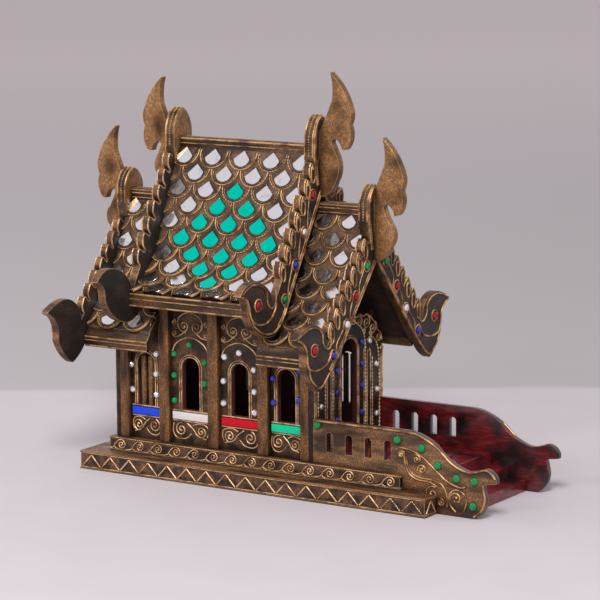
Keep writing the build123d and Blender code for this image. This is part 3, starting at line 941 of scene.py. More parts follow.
@dataclass
class RoofScales:
    """Staggered wooden fish scales, each edged with a double bead line and set with a cut mirror."""

    name: str
    slope: Slope
    x_range: Point
    rows: tuple[float, ...]
    first_x: float
    dim_reflection: Callable[[int, float], bool]
    green: dict[int, tuple[float, ...]] = field(default_factory=dict)
    pitch: float = 25.0
    scale_radius: float = 12.3
    seat: float = 1.75
    eave_out: float = 65.6
    tile_fits: float = 12.3
    lip_rise: float = 1.9
    thickness: float = 3.2
    run_up: float = 12.0

    def wooden_scale(self) -> bpy.types.Object:
        """One wooden scale: a disc cut in half, run up the slope, thickened and worn at its lip."""
        scale = fresh("circle", vertices=32, radius=self.scale_radius * MM, fill_type="NGON")
        with editing(scale):
            cut((0, 0, 0), (0, 1, 0))
            bpy.ops.mesh.select_all(action="DESELECT")
            bpy.ops.mesh.select_mode(type="EDGE")
            mesh = bmesh.from_edit_mesh(scale.data)
            for edge in mesh.edges:
                edge.select_set(all(abs(v.co.y) < 1e-6 for v in edge.verts))
            bmesh.update_edit_mesh(scale.data)
            bpy.ops.mesh.extrude_region_move(TRANSFORM_OT_translate={"value": (0, self.run_up * MM, 0)})
            thicken(-self.thickness)
        soften(scale, 0.35, 1)
        return scale

    def mirror(self) -> bpy.types.Object:
        """One hand-cut mirror: a disc with two straight cuts to a point, thickened and with a ground edge."""
        tile = fresh("circle", vertices=28, radius=6.8 * MM, fill_type="NGON", location=(0, -2.7 * MM, 0))
        with editing(tile):
            for side in (-1, 1):
                cut((0.6, 3.0, 0), (side * 6.4, 6.9 - side * 0.6, 0))
            thicken(1.0)
        soften(tile, 0.22, 1)
        size = self.scale_radius / self.tile_fits
        tile.data.transform(Matrix.Diagonal((size, size, 1, 1)))
        return tile

    def places(self) -> Iterator[tuple[int, float, float]]:
        """Row number, x and distance down the slope of every scale."""
        low, high = self.x_range
        for row, reach in enumerate(self.rows, start=1):
            shift = self.first_x + (0 if row % 2 else self.pitch / 2)
            for x in (shift + k * self.pitch for k in range(-4, 5)):
                if low - 11 < x < high + 11:
                    yield row, x, reach

    def kind(self, row: int, x: float) -> str:
        """Which mirror a scale has."""
        if any(abs(x - spot) < 1 for spot in self.green.get(row, ())):
            return "green"
        return "dim_reflection" if self.dim_reflection(row, x) else "silver"

    def clip(self, piece: bpy.types.Object) -> None:
        """Cuts off what runs past the boards at either end or over the eave."""
        with editing(piece):
            for x, side in zip(self.x_range, (-1, 1)):
                cut((x, 0, 0), (side, 0, 0))
            cut((0, -self.eave_out, 0), (0, -1, 0))

    def build(self, chance: random.Random, places: Sequence[Matrix]) -> None:
        """Makes the scales, bead lines and mirrors of one slope and repeats them on the others.

        Args:
            chance: seeded source of the small differences between pieces.
            places: where else the whole set goes.
        """
        scale, tile = self.wooden_scale(), self.mirror()
        angle = -math.atan2(self.lip_rise, 2 * self.scale_radius)
        # A dark bed a little larger than each mirror, just under it: partly putty and partly a painted shadow round the
        # tile
        spread = Matrix.Translation((0, -0.3 * MM, -0.55 * MM)) @ Matrix.Diagonal((1.13, 1.11, 1.0, 1.0))
        scales: list[bpy.types.Object] = []
        putty_and_shadow_beds: list[bpy.types.Object] = []
        mirrors: dict[str, list[bpy.types.Object]] = {kind: [] for kind in MIRRORS}
        beads = BeadLines(self.name + "_beads", 0.62, 1.25)
        for row, x, reach in self.places():
            seat = self.slope.place(x, reach, self.seat, angle)
            scales.append(copied(scale, seat))
            for inset, low, high, size in ((0.7, 172, 368, 1.0), (2.2, 188, 352, 0.42)):
                edge = beads.spaced(arc((0, 0), self.scale_radius - inset, low, high, 18))
                beads.lay([seat @ Vector((u * MM, v * MM, 0.25 * MM)) / MM for u, v in edge], size,
                          DOTTED if chance.random() < 0.3 else ROPE)
            if self.x_range[0] + 1 < x < self.x_range[1] - 1:
                tip_x, tip_y, turn = (Matrix.Rotation(math.radians(chance.uniform(-most, most)), 4, axis)
                                      for axis, most in (("X", 1.6), ("Y", 1.6), ("Z", 5)))
                mirrors[self.kind(row, x)].append(copied(tile, seat @ tip_x @ tip_y @ turn))
                putty_and_shadow_beds.append(copied(tile, seat @ spread))
        for pattern in (scale, tile):
            bpy.data.objects.remove(pattern)
        made = [(join(self.name + "_mirror_putty_and_shadow_beds", putty_and_shadow_beds), PUTTY_AND_SHADOW, Slot.GILT),
                (join(self.name + "_scales", scales), GILT_ROOF, Slot.GILT),
                (beads.build(THREAD), THREAD, Slot.GILT)]
        made += [(join(f"{self.name}_{kind}_mirrors", tiles), *MIRRORS[kind])
                 for kind, tiles in mirrors.items() if tiles]
        for piece, finish, slot in made:
            self.clip(paint(piece, finish))
            fit(piece, places)
        log.info("%s: %d scales", self.name, len(scales))


# Base


@dataclass
class PlinthFriezes:
    """Zigzag relief round the lower plinth and a running scroll round the upper one."""

    lower_box: tuple[float, float, float] = (-107.0, 184.0, 63.1)
    upper_box: tuple[float, float, float] = (-90.0, 157.0, 50.0)
    rim_sink: float = 0.6
    zigzag_pitch: float = 17.0
    scroll_pitch: float = 16.2
    scroll_middle: float = 18.3

    def zigzag(self, beads: BeadLines, face: Facing, start: float, end: float, dotted: int = 0) -> None:
        """Draws the zigzag and its two border lines.

        Args:
            beads: the lines to add to.
            face: the plinth's face.
            start: where the frieze starts.
            end: where it ends.
            dotted: how many of its last peaks are dotted.
        """
        count = max(1, round((end - start) / self.zigzag_pitch))
        pitch = (end - start) / count
        for number in range(count):
            left = start + number * pitch
            beads.draw(face, [(left + 0.6, 2.6), (left + pitch / 2, 10.8), (left + pitch - 0.6, 2.6)], 1.15,
                       DOTTED if number >= count - dotted else SMOOTH)
        for height in (1.7, 12.0):
            beads.draw(face, [(start - 1, height), (end + 1, height)], 0.9)

    def running_scroll(self, beads: BeadLines, face: Facing, start: float, end: float) -> None:
        """Draws the running scroll: curls joined by waves.

        Args:
            beads: the lines to add to.
            face: the plinth's face.
            start: where the frieze starts.
            end: where it ends.
        """
        count = max(1, round((end - start) / self.scroll_pitch))
        pitch, middle = (end - start) / count, self.scroll_middle
        for centre in (start + (number + 0.56) * pitch for number in range(count)):
            lead, wave = (flowing(*((u, middle + rise) for u, rise in placed(points, centre, pitch))) for points in (
                ((-0.62, -3.3), (-0.46, -2.6), (-0.33, 0.4)),
                ((-0.40, -2.2), (-0.2, -3.9), (0.15, -4.1), (0.38, -3.3))))
            beads.draw(face, lead + curl((centre, middle), 4.0, 160, 1.75, -1, 0.12)[1:], 1.1, SMOOTH, 1.7)
            beads.draw(face, wave, 0.85)
        beads.draw(face, [(start - 2, 22.9), (end + 2, 22.9)], 1.2)

    def build(self) -> None:
        """Draws both friezes on the seen side and repeats them on the far side, the rear and beside the stair."""
        (low_rear, low_front, low_side), (high_rear, high_front, high_side) = self.lower_box, self.upper_box
        beads = BeadLines("plinth_frieze_beads", 0.45)
        self.zigzag(beads, right_side(low_side - self.rim_sink), low_rear + 2, low_front - 2, 2)
        self.running_scroll(beads, right_side(high_side - self.rim_sink), high_rear + 2, high_front - 1)
        side = beads.build(PALE_THREAD)
        sides = join(side.name, [side, copied(side, OTHER_SIDE)])
        ends = BeadLines("plinth_rear_beads", 0.45)
        self.zigzag(ends, rear_side(-low_rear - self.rim_sink), -61, 61)
        self.running_scroll(ends, rear_side(-high_rear - self.rim_sink), -48, 48)
        for start in (48, -61):
            self.zigzag(ends, front_side(low_front - self.rim_sink), start, start + 13)
        fit(join("plinth_friezes", [sides, ends.build(PALE_THREAD)]))
        log.info("plinth friezes")


# Side walls


@dataclass
class SideBay:
    """One bay of a side wall: its middle, half width, strip and stones, and whether it is tall or barred."""

    centre: float
    half: float
    strip: str
    stone: str
    spots: Line
    tall: bool = True
    barred: bool = False


@dataclass
class SideWalls:
    """Window frames, coloured strips, carved scrolls and stones on both long walls."""

    face_depth: float = 43.0
    strip_foot: float = 41.3
    strip_top: float = 46.8
    window_half: float = 7.25
    window_foot: float = 48.5
    window_top: float = 86.5
    bar_radius: float = 2.1
    bar_spacing: float = 6.0
    bays: tuple[SideBay, ...] = (
        SideBay(-60.4, 13.6, "blue", "white", ((-73.4, 77.4), (-72.4, 59.0), (-51.2, 87.0), (-51.2, 72.3),
                                               (-51.2, 56.9)), tall=False, barred=True),
        SideBay(-21.25, 17.0, "white", "green", ((-22.2, 96.4), (-35.2, 88.5), (-35.4, 73.1), (-35.4, 54.7),
                                                 (-8.8, 84.6), (-8.6, 69.3))),
        SideBay(21.25, 17.0, "red", "white", ((8.4, 90.6), (20.9, 94.6), (7.4, 73.1), (7.3, 57.1), (33.4, 83.7),
                                              (33.6, 67.9), (34.0, 52.8))),
        SideBay(60.4, 13.6, "green", "blue", ((49.6, 79.3), (71.0, 86.4), (49.8, 62.0), (71.2, 66.0)), tall=False),
    )

    def relief(self, beads: BeadLines, face: Facing, bay: SideBay, hand: int) -> None:
        """Draws the scrolls under one window and, in a tall bay, over it.

        Args:
            beads: the lines to add to.
            face: the wall's face.
            bay: the bay.
            hand: 1 or -1, which way the lower scrolls run.
        """
        middle, reach = bay.centre, bay.half * hand
        left, across, right = (flowing(*placed(points, middle, reach)) for points in (
            ((-0.88, 38.2), (-0.92, 32.0), (-0.70, 27.4), (-0.25, 27.8), (0.02, 31.6)),
            ((-0.2, 39.0), (0.12, 35.0), (0.34, 30.6), (0.78, 28.4)),
            ((0.1, 37.6), (0.4, 39.4), (0.8, 38.2), (0.9, 34.0), (0.82, 30.0))))
        beads.draw_all(face, (
            (across, 1.1, SMOOTH),
            (curl((middle - 0.50 * reach, 34.0), 5.0, 75, 1.7, hand, 0.12), 1.1, SMOOTH, 1.8),
            (left, 0.95),
            (curl((middle + 0.52 * reach, 33.6), 4.4, 250, 1.6, hand, 0.12), 1.1, SMOOTH, 1.8),
            (right, 0.95)))
        for side in (-1, 1) if bay.tall else ():
            crest, spray = (flowing(*placed(points, middle, side)) for points in (
                ((3.4, 104.6), (9.6, 107.6), (10.6, 112.6), (7.4, 117.6), (0, 120.4)),
                ((5.6, 104.8), (9.6, 102.2), (13.8, 101.2))))
            beads.draw_all(face, (
                (curl((middle + side * 5.4, 109.6), 4.7, 90 - side * 70, 1.7, -side, 0.12), 1.15, SMOOTH, 1.8),
                (crest, 1.1, SMOOTH),
                (spray, 1.0),
                (curl((middle + side * 13.4, 103.4), 2.3, -90, 1.3, side, 0.2), 1.0, ROPE, 1.7),
                (curl((middle + side * 14.2, 112.0), 2.2, 90, 1.3, side, 0.2), 0.95, ROPE, 1.7)))

    def window(self, beads: BeadLines, face: Facing, bay: SideBay) -> None:
        """Draws the frame lines round one window and the arch over it.

        Args:
            beads: the lines to add to.
            face: the wall's face.
            bay: the bay.
        """
        for gap, size in ((0.9, 1.0), (2.5, 0.75)):
            beads.draw(face, round_topped(bay.centre, self.window_half + gap, self.window_foot + 0.2,
                                          self.window_top + gap), size, SMOOTH)
        for height in (self.window_foot - 0.6, self.strip_foot - 0.9):
            beads.draw(face, [(bay.centre + side * (bay.half - 1.4), height) for side in (-1, 1)], 1.2)
        if bay.tall:
            rise = ((-15.6, 90.5), (-12.6, 96.2), (-6.5, 100.2), (0.0, 101.6), (6.5, 100.2), (12.6, 96.2), (15.6, 90.5))
            beads.draw(face, flowing(*placed(rise, bay.centre)), 1.1)

    def strips(self) -> None:
        """Makes the four coloured glass strips of each wall as cut, ground-edged bars."""
        for bay in self.bays:
            middle = (self.strip_foot + self.strip_top) / 2
            bar = fresh("cube", size=1, location=Vector((bay.centre, -self.face_depth - 0.5, middle)) * MM,
                        scale=Vector((2 * bay.half - 3.2, 1.6, self.strip_top - self.strip_foot)) * MM)
            with editing(bar):
                pick_faces(bar, lambda centre, normal: normal.y < -0.9)
                bpy.ops.mesh.inset(thickness=0.5 * MM, depth=0.22 * MM)
            soften(bar, 0.12, 1, 20)
            bar.name = f"{bay.strip}_glass_strips"
            fit(paint(bar, STRIPS[bay.strip]), [HALF_TURN])

    def bars(self) -> None:
        """Makes the two round-nosed bars in the barred windows."""
        rods = []
        for x in (bay.centre + side * self.bar_spacing / 2 for bay in self.bays if bay.barred for side in (-1, 1)):
            rod = fresh("cylinder", vertices=12, radius=self.bar_radius * MM, depth=36 * MM,
                        location=Vector((x, -41.2, 66.2)) * MM)
            with editing(rod):
                pick_faces(rod, lambda centre, normal: abs(normal.z) > 0.9)
                bpy.ops.mesh.inset(thickness=0.7 * MM, depth=0.8 * MM)
            smooth(rod, 50)
            rods.append(rod)
        fit(paint(join("window_bars", rods), GILT_BAR), [HALF_TURN])

    def build(self) -> None:
        """Makes everything laid on the right wall and repeats it on the left by a half turn."""
        face = right_side(self.face_depth)
        beads = BeadLines("side_wall_beads", 0.48)
        stones = Jewels("side_wall")
        for number, bay in enumerate(self.bays):
            self.relief(beads, face, bay, 1 if number % 2 else -1)
            self.window(beads, face, bay)
            stones.put(bay.stone, face, bay.spots)
        fit(beads.build(PALE_THREAD), [HALF_TURN])
        stones.build([HALF_TURN])
        self.strips()
        self.bars()
        log.info("side walls: %d bays a side", len(self.bays))


# End walls


@dataclass
class EndWalls:
    """Bead lines, dots, stones and the carved pediment on the front wall, repeated at the rear."""

    face_depth: float = 85.2
    door_half: float = 10.5
    door_top: float = 104.0
    foot: float = 25.0

    def pediment(self, beads: BeadLines, face: Facing) -> None:
        """Draws the curls of the pediment on both sides of the middle."""
        rim = flowing((0.5, 122.4), (6.0, 121.0), (9.6, 117.8), (14.0, 119.6), (19.4, 117.6), (24.0, 118.2),
                      (29.6, 115.6), (33.0, 112.4), (37.0, 110.0), (38.6, 104.8), (43.0, 102.4), (44.6, 97.0))
        curls = (((5.4, 115.6), 3.6, 200, -1), ((14.0, 114.2), 4.2, 120, -1), ((23.6, 112.6), 4.8, 60, -1),
                 ((32.0, 107.4), 4.6, 60, -1), ((40.4, 99.6), 3.6, 60, -1), ((44.0, 90.6), 2.4, 60, -1),
                 ((20.0, 106.8), 2.4, 240, 1), ((28.8, 103.6), 2.2, 240, 1))
        for side in (-1, 1):
            for centre, radius, start, hand in curls:
                beads.draw(face, placed(curl(centre, radius, start, 1.6, hand, 0.15), scale=side), 1.15, SMOOTH, 1.8)
            beads.draw(face, placed(rim, scale=side), 1.25)

    def bands(self, beads: BeadLines, dots: BeadLines, face: Facing) -> None:
        """Draws the frame of the doorway and the upright bands beside it.

        Args:
            beads: the fine lines to add to.
            dots: the dotted lines to add to.
            face: the wall's face.
        """
        foot = self.foot
        for gap, rise, size, texture in ((1.2, 1.0, 1.5, SMOOTH), (3.0, 2.6, 0.9, DOTTED)):
            beads.draw(face, round_topped(0, self.door_half + gap, foot, self.door_top + rise), size, texture)
        sweep = flowing((8.5, 114.6), (15.3, 110.5), (19.8, 104.6), (21.6, 96.2), (22.0, 78.0), (22.2, 50.0),
                        (22.2, foot))
        small_arch = flowing((24.4, foot), (24.4, 86.0), (26.6, 91.0), (29.2, 86.6), (29.2, foot))
        big_arch = flowing((23.8, 99.4), (28.9, 101.2), (34.7, 98.6), (39.3, 90.8), (41.0, 74.8), (41.4, 50.0),
                           (41.4, foot))
        for side in (-1, 1):
            for lines, line, size, texture in (
                    (dots, sweep, 1.2, DOTTED), (beads, ((20.4, foot), (20.2, 94.0)), 0.9, SMOOTH),
                    (beads, small_arch, 1.1, SMOOTH), (dots, ((31.9, foot), (31.6, 86.6)), 0.9, DOTTED),
                    (dots, big_arch, 1.2, DOTTED), (beads, ((43.6, foot), (43.6, 88.0)), 1.0, SMOOTH),
                    (beads, ((45.4, foot), (45.4, 94.0)), 1.2, ROPE)):
                lines.draw(face, placed(line, scale=side), size, texture)

    def build(self) -> None:
        """Makes the front wall's ornament and repeats it at the rear."""
        face = front_side(self.face_depth)
        beads, dots = BeadLines("end_wall_beads", 0.5), BeadLines("end_wall_dots", 0.72, 1.35)
        self.bands(beads, dots, face)
        self.pediment(beads, face)
        stones = Jewels("end_wall")
        for side in (-1, 1):
            for colour, spots in (("blue", ((16.6, 99.6), (17.0, 83.9), (17.0, 68.0), (17.0, 48.3))),
                                  ("white", ((27.9, 98.6), (36.6, 80.3), (37.4, 61.7), (37.6, 43.8)))):
                stones.put(colour, face, placed(spots, scale=side), 0.95)
        fit(beads.build(PALE_THREAD), [HALF_TURN])
        # The dots round the door: pale gold whitened as a painted highlight
        fit(dots.build(HIGHLIT_DOTS), [HALF_TURN])
        stones.build([HALF_TURN])
        log.info("end walls")


# Gables


@dataclass
class GableTrim:
    """Bead lines, ringed stones and hanging loops on one pair of bargeboards, and the lines of its apex plate."""

    name: str
    face_depth: float
    edge: tuple[Point, Point, Point]
    fin_pitch: float
    rings: tuple[tuple[str, Point], ...]
    tail_ring: Point
    tail_lines: tuple[Line, Line, Line, Line]
    ridge: float
    plate_rise: float
    fin_start: float = 20.0
    fin_count: int = 7
    board_width: float = 16.0
    plate_half: float = 11.0
    plate_depth: float = 8.0
    bend_ease: float = 7.0

    def rings_and_links(self, beads: BeadLines, face: Facing, stones: Jewels) -> None:
        """Draws each stone's ring and the long line that runs from one ring down and round the next.

        Args:
            beads: the lines to add to.
            face: the board's face.
            stones: the stones to add to.
        """
        for colour, spot in self.rings:
            beads.draw(face, arc(spot, 3.9, 0, 360, 18), 1.2, SMOOTH, closed=True)
            stones.put(colour, face, [spot], 1.15, 0.1)
        for (_, (u, v)), (_, (next_u, next_v)) in zip(self.rings, self.rings[1:]):
            beads.draw(face, [(u + 4.4, v + 0.4), *flowing(
                (u + 4.6, v - 3.0), (next_u - 4.6, next_v + 7.0), (next_u - 5.1, next_v + 0.4),
                (next_u - 3.4, next_v - 3.6), (next_u + 0.6, next_v - 5.2))], 1.05)
        beads.draw(face, arc(self.tail_ring, 4.2, 0, 360, 18), 1.3, SMOOTH, closed=True)
        stones.put("red", face, [self.tail_ring], 1.3, 0.1)

    def inner_edge(self, gap: float) -> list[Point]:
        """The board's inner edge moved up and outwards by a gap, with its bend eased."""
        start, bend, end = map(Vector, self.edge)
        steep, shallow = (bend - start).normalized(), (end - bend).normalized()
        out1, out2 = Vector((-steep.y, steep.x)) * gap, Vector((-shallow.y, shallow.x)) * gap
        before = bend - steep * self.bend_ease + out1
        after = bend + shallow * min(self.bend_ease, (end - bend).length) + out2
        middle = bend + (out1 + out2) / 2 + Vector((-0.2, 1.6))
        return [tuple(start + out1), *flowing(tuple(before), tuple(middle), tuple(after))]

    def fins(self, beads: BeadLines, tips: BeadLines, face: Facing) -> None:
        """Draws the loop that hangs from each leaf fin's curled tip, and lays a line round both its edges.

        Args:
            beads: the board's lines to add to.
            tips: the fins' lines to add to.
            face: the board's face.
        """
        start, bend, _ = map(Vector, self.edge)
        down = (bend - start).normalized()
        out, top = Vector((-down.y, down.x)), start + Vector((0, self.board_width / down.x))
        for foot in (top + down * (self.fin_start + n * self.fin_pitch) for n in range(self.fin_count)):
            beads.draw(face, flowing(*(tuple(foot + Vector(step)) for step in (
                (2.0, 6.6), (3.8, 2.6), (4.0, -2.4), (3.2, -5.6), (1.5, -6.8), (-0.2, -5.4), (-0.8, -1.0),
                (-0.4, 2.6), (1.4, 4.4), (1.8, 2.6)))), 1.15, SMOOTH)
            outline = flowing(*(tuple(foot + down * a + out * b) for a, b in (
                (5.0, 0.4), (4.4, 2.8), (2.4, 5.0), (-1.4, 6.4), (-4.6, 6.6), (-4.4, 2.4), (-5.0, 0.4))), steps=3)
            for back in (0.5, 5.5):
                tips.lay([Vector((self.face_depth - back, u, v)) for u, v in tips.spaced(outline)], 1.05)

    def plate_contour(self, inset: float) -> list[Point]:
        """The left half of the apex plate's outline from its foot to its point, moved inwards."""
        half, shoulder, rise = self.plate_half - inset, self.ridge + 4.0, self.plate_rise - 4.0
        return [(half - 3.6, self.ridge - 24.0), (half, self.ridge - 4.0), *flowing(
            (half, shoulder), (half * 0.97, shoulder + rise * 0.3), (half * 0.78, shoulder + rise * 0.6),
            (half * 0.45, shoulder + rise * 0.85), (0.3, self.ridge + self.plate_rise - inset))]

    def plate_lines(self, beads: BeadLines, face: Facing) -> None:
        """Draws the plate's front rim and lays lines round its narrow side."""
        beads.draw(face, self.plate_contour(0.9), 1.3, SMOOTH)
        beads.draw(face, self.plate_contour(3.0), 0.9, DOTTED)
        rim = beads.spaced(self.plate_contour(0.0)[1:])
        for back, size, texture in ((0.7, 1.1, SMOOTH), (3.9, 1.6, DOTTED), (self.plate_depth - 0.8, 1.1, SMOOTH)):
            beads.lay([Vector((self.face_depth - back, u + 0.1, v)) for u, v in rim], size, texture)

    def build(self, places: Sequence[Matrix]) -> None:
        """Makes the trim of the left half, mirrors it and repeats both elsewhere."""
        face = front_side(self.face_depth)
        beads, tips = BeadLines(self.name + "_beads", 0.5), BeadLines(self.name + "_fin_beads", 0.62)
        stones = Jewels(self.name)
        for gap, size, texture in ((0.9, 1.5, SMOOTH), (2.6, 0.9, ROPE)):
            beads.draw(face, self.inner_edge(gap), size, texture)
        self.rings_and_links(beads, face, stones)
        self.fins(beads, tips, face)
        self.plate_lines(beads, face)
        for line, size in zip(self.tail_lines, (1.5, 1.3, 1.3, 1.2)):
            beads.draw(face, flowing(*line), size, SMOOTH)
        half = join(self.name + "_beads", [beads.build(THREAD), tips.build(PALE_THREAD)])
        fit(join(half.name, [half, copied(half, OTHER_SIDE)]), places)
        stones.build([OTHER_SIDE, *places, *(place @ OTHER_SIDE for place in places)])
        log.info("%s", self.name)


@dataclass
class RoofLines:
    """Gold lines along the ridge caps and the eave boards."""

    caps: tuple[tuple[float, float, float], ...] = ((236.5, -55.0, 55.0), (194.0, 47.4, 99.6), (194.0, -99.6, -47.4))
    eaves: tuple[tuple[float, float, float, float, float], ...] = (
        (66.0, 134.2, 124.5, -57.3, 57.3), (61.0, 98.8, 91.0, 46.9, 101.8), (61.0, 98.8, 91.0, -101.8, -46.9))

    def build(self) -> None:
        """Lays the lines of the right-hand side and mirrors them."""
        beads = BeadLines("roof_edge_beads", 0.5)
        for ridge, start, end in self.caps:
            for rise, size, texture in ((3.0, 1.3, SMOOTH), (-0.4, 0.8, ROPE), (-6.0, 1.4, ROPE)):
                beads.draw(right_side(3.05), [(start, ridge + rise), (end, ridge + rise)], size, texture)
        for out, top, foot, start, end in self.eaves:
            for height, size in ((top - 0.6, 1.5), ((top + foot) / 2 + 0.8, 0.9), (foot + 0.9, 1.3)):
                beads.draw(right_side(out - 0.35), [(start, height), (end, height)], size)
        fit(beads.build(THREAD), [OTHER_SIDE])
        log.info("roof lines")


# Balustrades


@dataclass
class BalustradeTrim:
    """Gold rail lines, scrolls and green stones on the outside of each balustrade."""

    depth: float = 47.0
    sweeps: tuple[tuple[float, Line], ...] = (
        (1.5, ((86.0, 53.9), (157.0, 53.9), (171.0, 52.2), (183.6, 46.2), (196.2, 35.9), (207.6, 31.6),
               (214.6, 32.6), (221.4, 34.6), (226.4, 32.6), (229.0, 29.2))),
        (1.4, ((219.4, 24.0), (220.4, 19.0), (221.2, 14.6), (219.0, 7.0), (212.6, 1.4))),
        (1.25, ((154.0, 43.0), (164.0, 41.8), (174.0, 37.4), (183.4, 30.0), (192.4, 23.6), (202.0, 20.4),
                (206.2, 21.4))),
        (1.25, ((158.6, 40.6), (159.4, 32.0), (163.0, 25.4), (169.6, 22.0), (178.0, 21.6), (184.6, 19.0))),
        (1.1, ((160.6, 36.6), (161.4, 30.6), (165.0, 25.9), (171.0, 23.6), (179.0, 23.2), (187.6, 21.2),
               (192.0, 14.0), (192.2, 6.0))))
    curls: tuple[tuple[Point, float, float, int], ...] = (
        ((156.4, 38.2), 2.6, 0, 1), ((168.4, 36.0), 3.4, 120, -1), ((172.6, 29.4), 3.6, 200, -1),
        ((180.6, 13.4), 5.6, 60, 1), ((187.4, 8.6), 2.8, 100, -1), ((199.0, 12.4), 4.6, 200, -1))
    last_scroll: Line = ((199.0, 3.2), (194.6, 8.0), (194.0, 14.6), (198.4, 18.4), (204.4, 17.0), (207.2, 11.4),
                         (205.0, 4.0))
    spots: Line = ((88.8, 51.0), (153.3, 47.9), (172.2, 44.2), (184.7, 33.6), (199.5, 26.4), (213.3, 26.0),
                   (212.2, 8.7))

    def build(self) -> None:
        """Makes the near balustrade's trim and mirrors it."""
        face = right_side(self.depth)
        beads = BeadLines("balustrade_beads", 0.5)
        for size, line in self.sweeps:
            beads.draw(face, flowing(*line), size, SMOOTH)
        for centre, radius, start, hand in self.curls:
            beads.draw(face, curl(centre, radius, start, 1.5, hand, 0.14), 1.2, SMOOTH, 1.8)
        beads.draw(face, flowing(*self.last_scroll), 1.2, SMOOTH)
        fit(beads.build(THREAD), [OTHER_SIDE])
        stones = Jewels("balustrade")
        stones.put("green", face, self.spots, 1.2)
        stones.build([OTHER_SIDE])
        log.info("balustrades")


# Studio


@dataclass
class Studio:
    """The camera at the photo's view, a pale floor and backdrop, and soft lamps."""

    camera_at: tuple[float, float, float] = (1.064377, -1.583447, 0.443115)
    looks: tuple[float, float, float] = (-0.53409116, 0.82920708, -0.16480972)
    roll_deg: float = -0.33037
    lens_mm: float = 160.79
    floor_colour: str = "C6BFC4"
    floor_clouds: str = "BEB6BB"
    wall_colour: str = "AFA9AC"
    far_colour: str = "E6DBDF"
    table_edge: float = 0.292
    away: tuple[float, float, float] = (-0.541, 0.841, 0.0)
    aim: tuple[float, float, float] = (0.0, 0.0, 0.12)
    lamps: tuple[tuple[str, tuple[float, float, float], float, float], ...] = (
        ("key", (0.9, -1.7, 1.9), 0.7, 58.0), ("fill", (-1.9, -0.5, 0.8), 1.0, 12.0),
        ("glint", (-0.2, -2.2, 1.3), 0.3, 9.0))

    def camera(self) -> None:
        """Places the camera."""
        view = Vector(self.looks).normalized()
        right = view.cross(Z).normalized()
        up = right.cross(view)
        roll = math.radians(self.roll_deg)
        side = right * math.cos(roll) + up * math.sin(roll)
        top = up * math.cos(roll) - right * math.sin(roll)
        data = bpy.data.cameras.new("camera")
        data.lens, data.sensor_width = self.lens_mm, 36.0
        data.clip_start, data.clip_end = 0.05, 30.0
        camera = bpy.data.objects.new("camera", data)
        camera.matrix_world = Matrix.Translation(self.camera_at) @ Matrix((side, top, -view)).transposed().to_4x4()
        bpy.context.scene.collection.objects.link(camera)
        bpy.context.scene.camera = camera

    def floor(self) -> None:
        """Makes the floor: one wide pale matt board, a little greyer beyond a line behind the house."""
        board = fresh("plane", size=24.0)
        board.name = "pale_floor"
        mixed = Recipe("matt_pale_table_top")
        near = mixed.coat(linear(self.floor_colour), linear(self.floor_clouds), (60.0, 3.0))
        distance = mixed.add("VectorMath", {0: mixed.where, 1: self.away}, "Value", operation="DOT_PRODUCT")
        beyond, rising = (
            mixed.add("MapRange", {0: distance, 1: low, 2: high}, interpolation_type="SMOOTHSTEP")
            for low, high in ((self.table_edge - 0.012, self.table_edge + 0.012), (self.table_edge, 4.2)))
        wall = mixed.add("Mix", {0: rising, 6: linear(self.wall_colour), 7: linear(self.far_colour)}, 2,
                         data_type="RGBA")
        colour = mixed.add("Mix", {0: beyond, 6: near, 7: wall}, 2, data_type="RGBA")
        board.data.materials.append(mixed.close({"Base Color": colour, "Roughness": 0.75}))

    def world(self) -> None:
        """Sets the pale surroundings: their own colour to the eye, mirrors and glass, and soft light on the rest."""
        world = bpy.data.worlds.new("studio")
        world.use_nodes = True
        tree = world.node_tree
        tree.nodes.clear()
        seen, shown, bright = (
            add_node(tree, "Background", {"Color": linear(colour), "Strength": strength})
            for colour, strength in (("EDEAEC", 0.58), (self.wall_colour, 1.0), ("F2EFF2", 0.92)))
        for ray, light in (("Is Glossy Ray", bright), ("Is Transmission Ray", bright), ("Is Camera Ray", shown)):
            seen = add_node(tree, "MixShader", {0: add_node(tree, "LightPath", output=ray), 1: seen, 2: light})
        add_node(tree, "OutputWorld", {"Surface": seen})
        bpy.context.scene.world = world

    def build(self) -> None:
        """Sets up the whole studio, with its soft square lamps facing the house."""
        self.camera()
        self.floor()
        self.world()
        for name, place, size, power in self.lamps:
            data = bpy.data.lights.new(name, "AREA")
            data.size, data.energy = size, power
            lamp = bpy.data.objects.new(name, data)
            lamp.location = place
            lamp.rotation_mode = "QUATERNION"
            lamp.rotation_quaternion = (Vector(self.aim) - Vector(place)).to_track_quat("-Z", "Y")
            bpy.context.scene.collection.objects.link(lamp)
        bpy.context.scene.view_settings.view_transform = "Standard"
        log.info("studio")


def roofs() -> list[tuple[RoofScales, Matrix]]:
    """The scales of each roof, and where the same set goes on its other slope."""
    low_slope = Slope((0.0, 194.0), (22.0, 145.4), (61.0, 98.8))
    low_rows = tuple(4.8 + 13.1 * k for k in range(8))
    # Each roof's rule below picks the tiles that get the grey mirror: a painted dim reflection on those rows and ends
    return [
        (RoofScales("main_roof", Slope((0.0, 236.5), (38.0, 143.4), (66.0, 134.2)), (-57.4, 57.4),
                    tuple(7.3 + 12.1 * k for k in range(10)), 0.0,
                    lambda row, x: x < -48 and row in (3, 7, 9) or row == 10,
                    {3: (0,), 4: (-12.5, 12.5), 5: (-25, 0, 25), 6: (-37.5, -12.5, 12.5, 37.5), 7: (-25, 0, 25),
                     8: (-12.5, 12.5), 9: (0,)}), HALF_TURN),
        (RoofScales("front_low_roof", low_slope, (46.9, 101.9), low_rows, 68.5, lambda row, x: x < 85,
                    pitch=21.0, scale_radius=10.4, seat=2.0, eave_out=60.8), OTHER_SIDE),
        (RoofScales("rear_low_roof", low_slope, (-101.9, -46.9), low_rows, -73.0, lambda row, x: x > -70,
                    pitch=23.5, scale_radius=11.6, seat=2.0, eave_out=60.8), OTHER_SIDE),
    ]


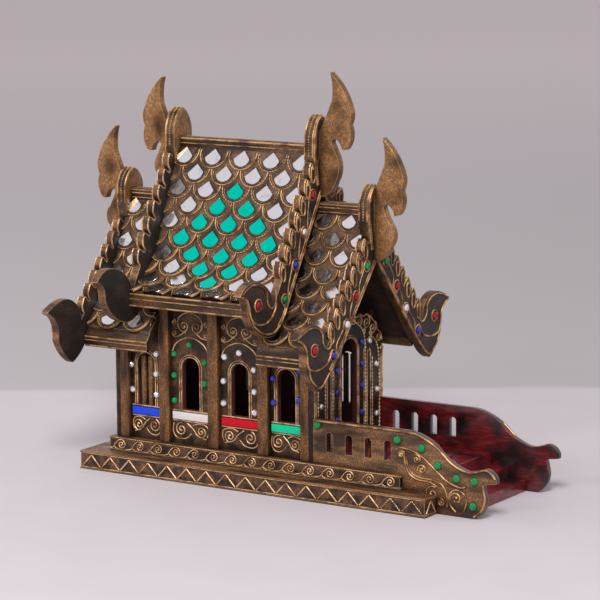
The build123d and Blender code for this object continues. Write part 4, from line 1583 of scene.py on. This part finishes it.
def gables() -> list[GableTrim]:
    """The trim of the low and the main gables; tail lines are the head, end lobe, brow and big loop."""
    return [
        GableTrim("low_gables", 108.0, ((0.0, 161.5), (55.0, 96.5), (67.7, 87.0)), 11.4,
                  (("green", (13.0, 159.6)), ("red", (27.6, 140.4)), ("white", (40.0, 122.4)),
                   ("blue", (57.4, 103.6))), (81.4, 110.8), (
            ((101.5, 120.4), (96.5, 118.2), (92.2, 114.0), (90.6, 109.6), (90.0, 103.0), (88.0, 99.0),
             (83.6, 97.2), (78.0, 96.4), (71.5, 97.2), (64.0, 100.2), (58.4, 108.0)),
            ((87.6, 97.4), (86.2, 92.6), (82.0, 88.0), (75.2, 83.6), (68.5, 86.6), (62.6, 92.2)),
            ((101.5, 121.8), (95.0, 124.2), (86.2, 126.4), (77.0, 125.2), (70.6, 120.6)),
            ((70.8, 121.0), (69.8, 113.6), (64.4, 109.0), (60.0, 112.0), (60.2, 121.0))), 194.0, 21.0),
        GableTrim("main_gables", 63.5, ((0.0, 207.5), (51.0, 122.5), (60.7, 115.0)), 12.6,
                  (("red", (13.0, 206.4)), ("white", (24.2, 181.6)), ("blue", (35.6, 160.0)),
                   ("green", (49.4, 137.4))), (82.6, 138.0), (
            ((101.4, 146.2), (96.6, 143.6), (94.0, 139.6), (92.6, 133.4), (90.0, 128.6), (85.6, 125.6),
             (78.0, 123.8), (70.0, 125.0), (63.4, 129.6), (59.8, 136.0)),
            ((89.2, 126.6), (86.0, 123.0), (80.0, 119.0), (74.0, 116.8), (66.0, 115.9), (60.4, 117.4),
             (56.4, 120.4)),
            ((101.4, 147.6), (96.6, 150.4), (88.6, 152.8), (78.8, 150.8), (71.2, 145.6)),
            ((71.6, 146.2), (70.6, 138.0), (65.4, 133.6), (60.6, 137.0), (60.4, 146.0))), 236.5, 25.0),
    ]


def main() -> None:
    """Builds the house's looks piece by piece."""
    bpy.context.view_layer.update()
    Studio().build()
    for wood in wooden_parts():
        wood.build()
    chance = random.Random(41)
    for roof, other in roofs():
        roof.build(chance, [other])
    for trim in (PlinthFriezes(), SideWalls(), EndWalls()):
        trim.build()
    for gable in gables():
        gable.build([HALF_TURN])
    for trim in (RoofLines(), BalustradeTrim()):
        trim.build()


if __name__ == "__main__":
    logging.basicConfig(level=logging.INFO, format="%(name)s: %(message)s")
    main()
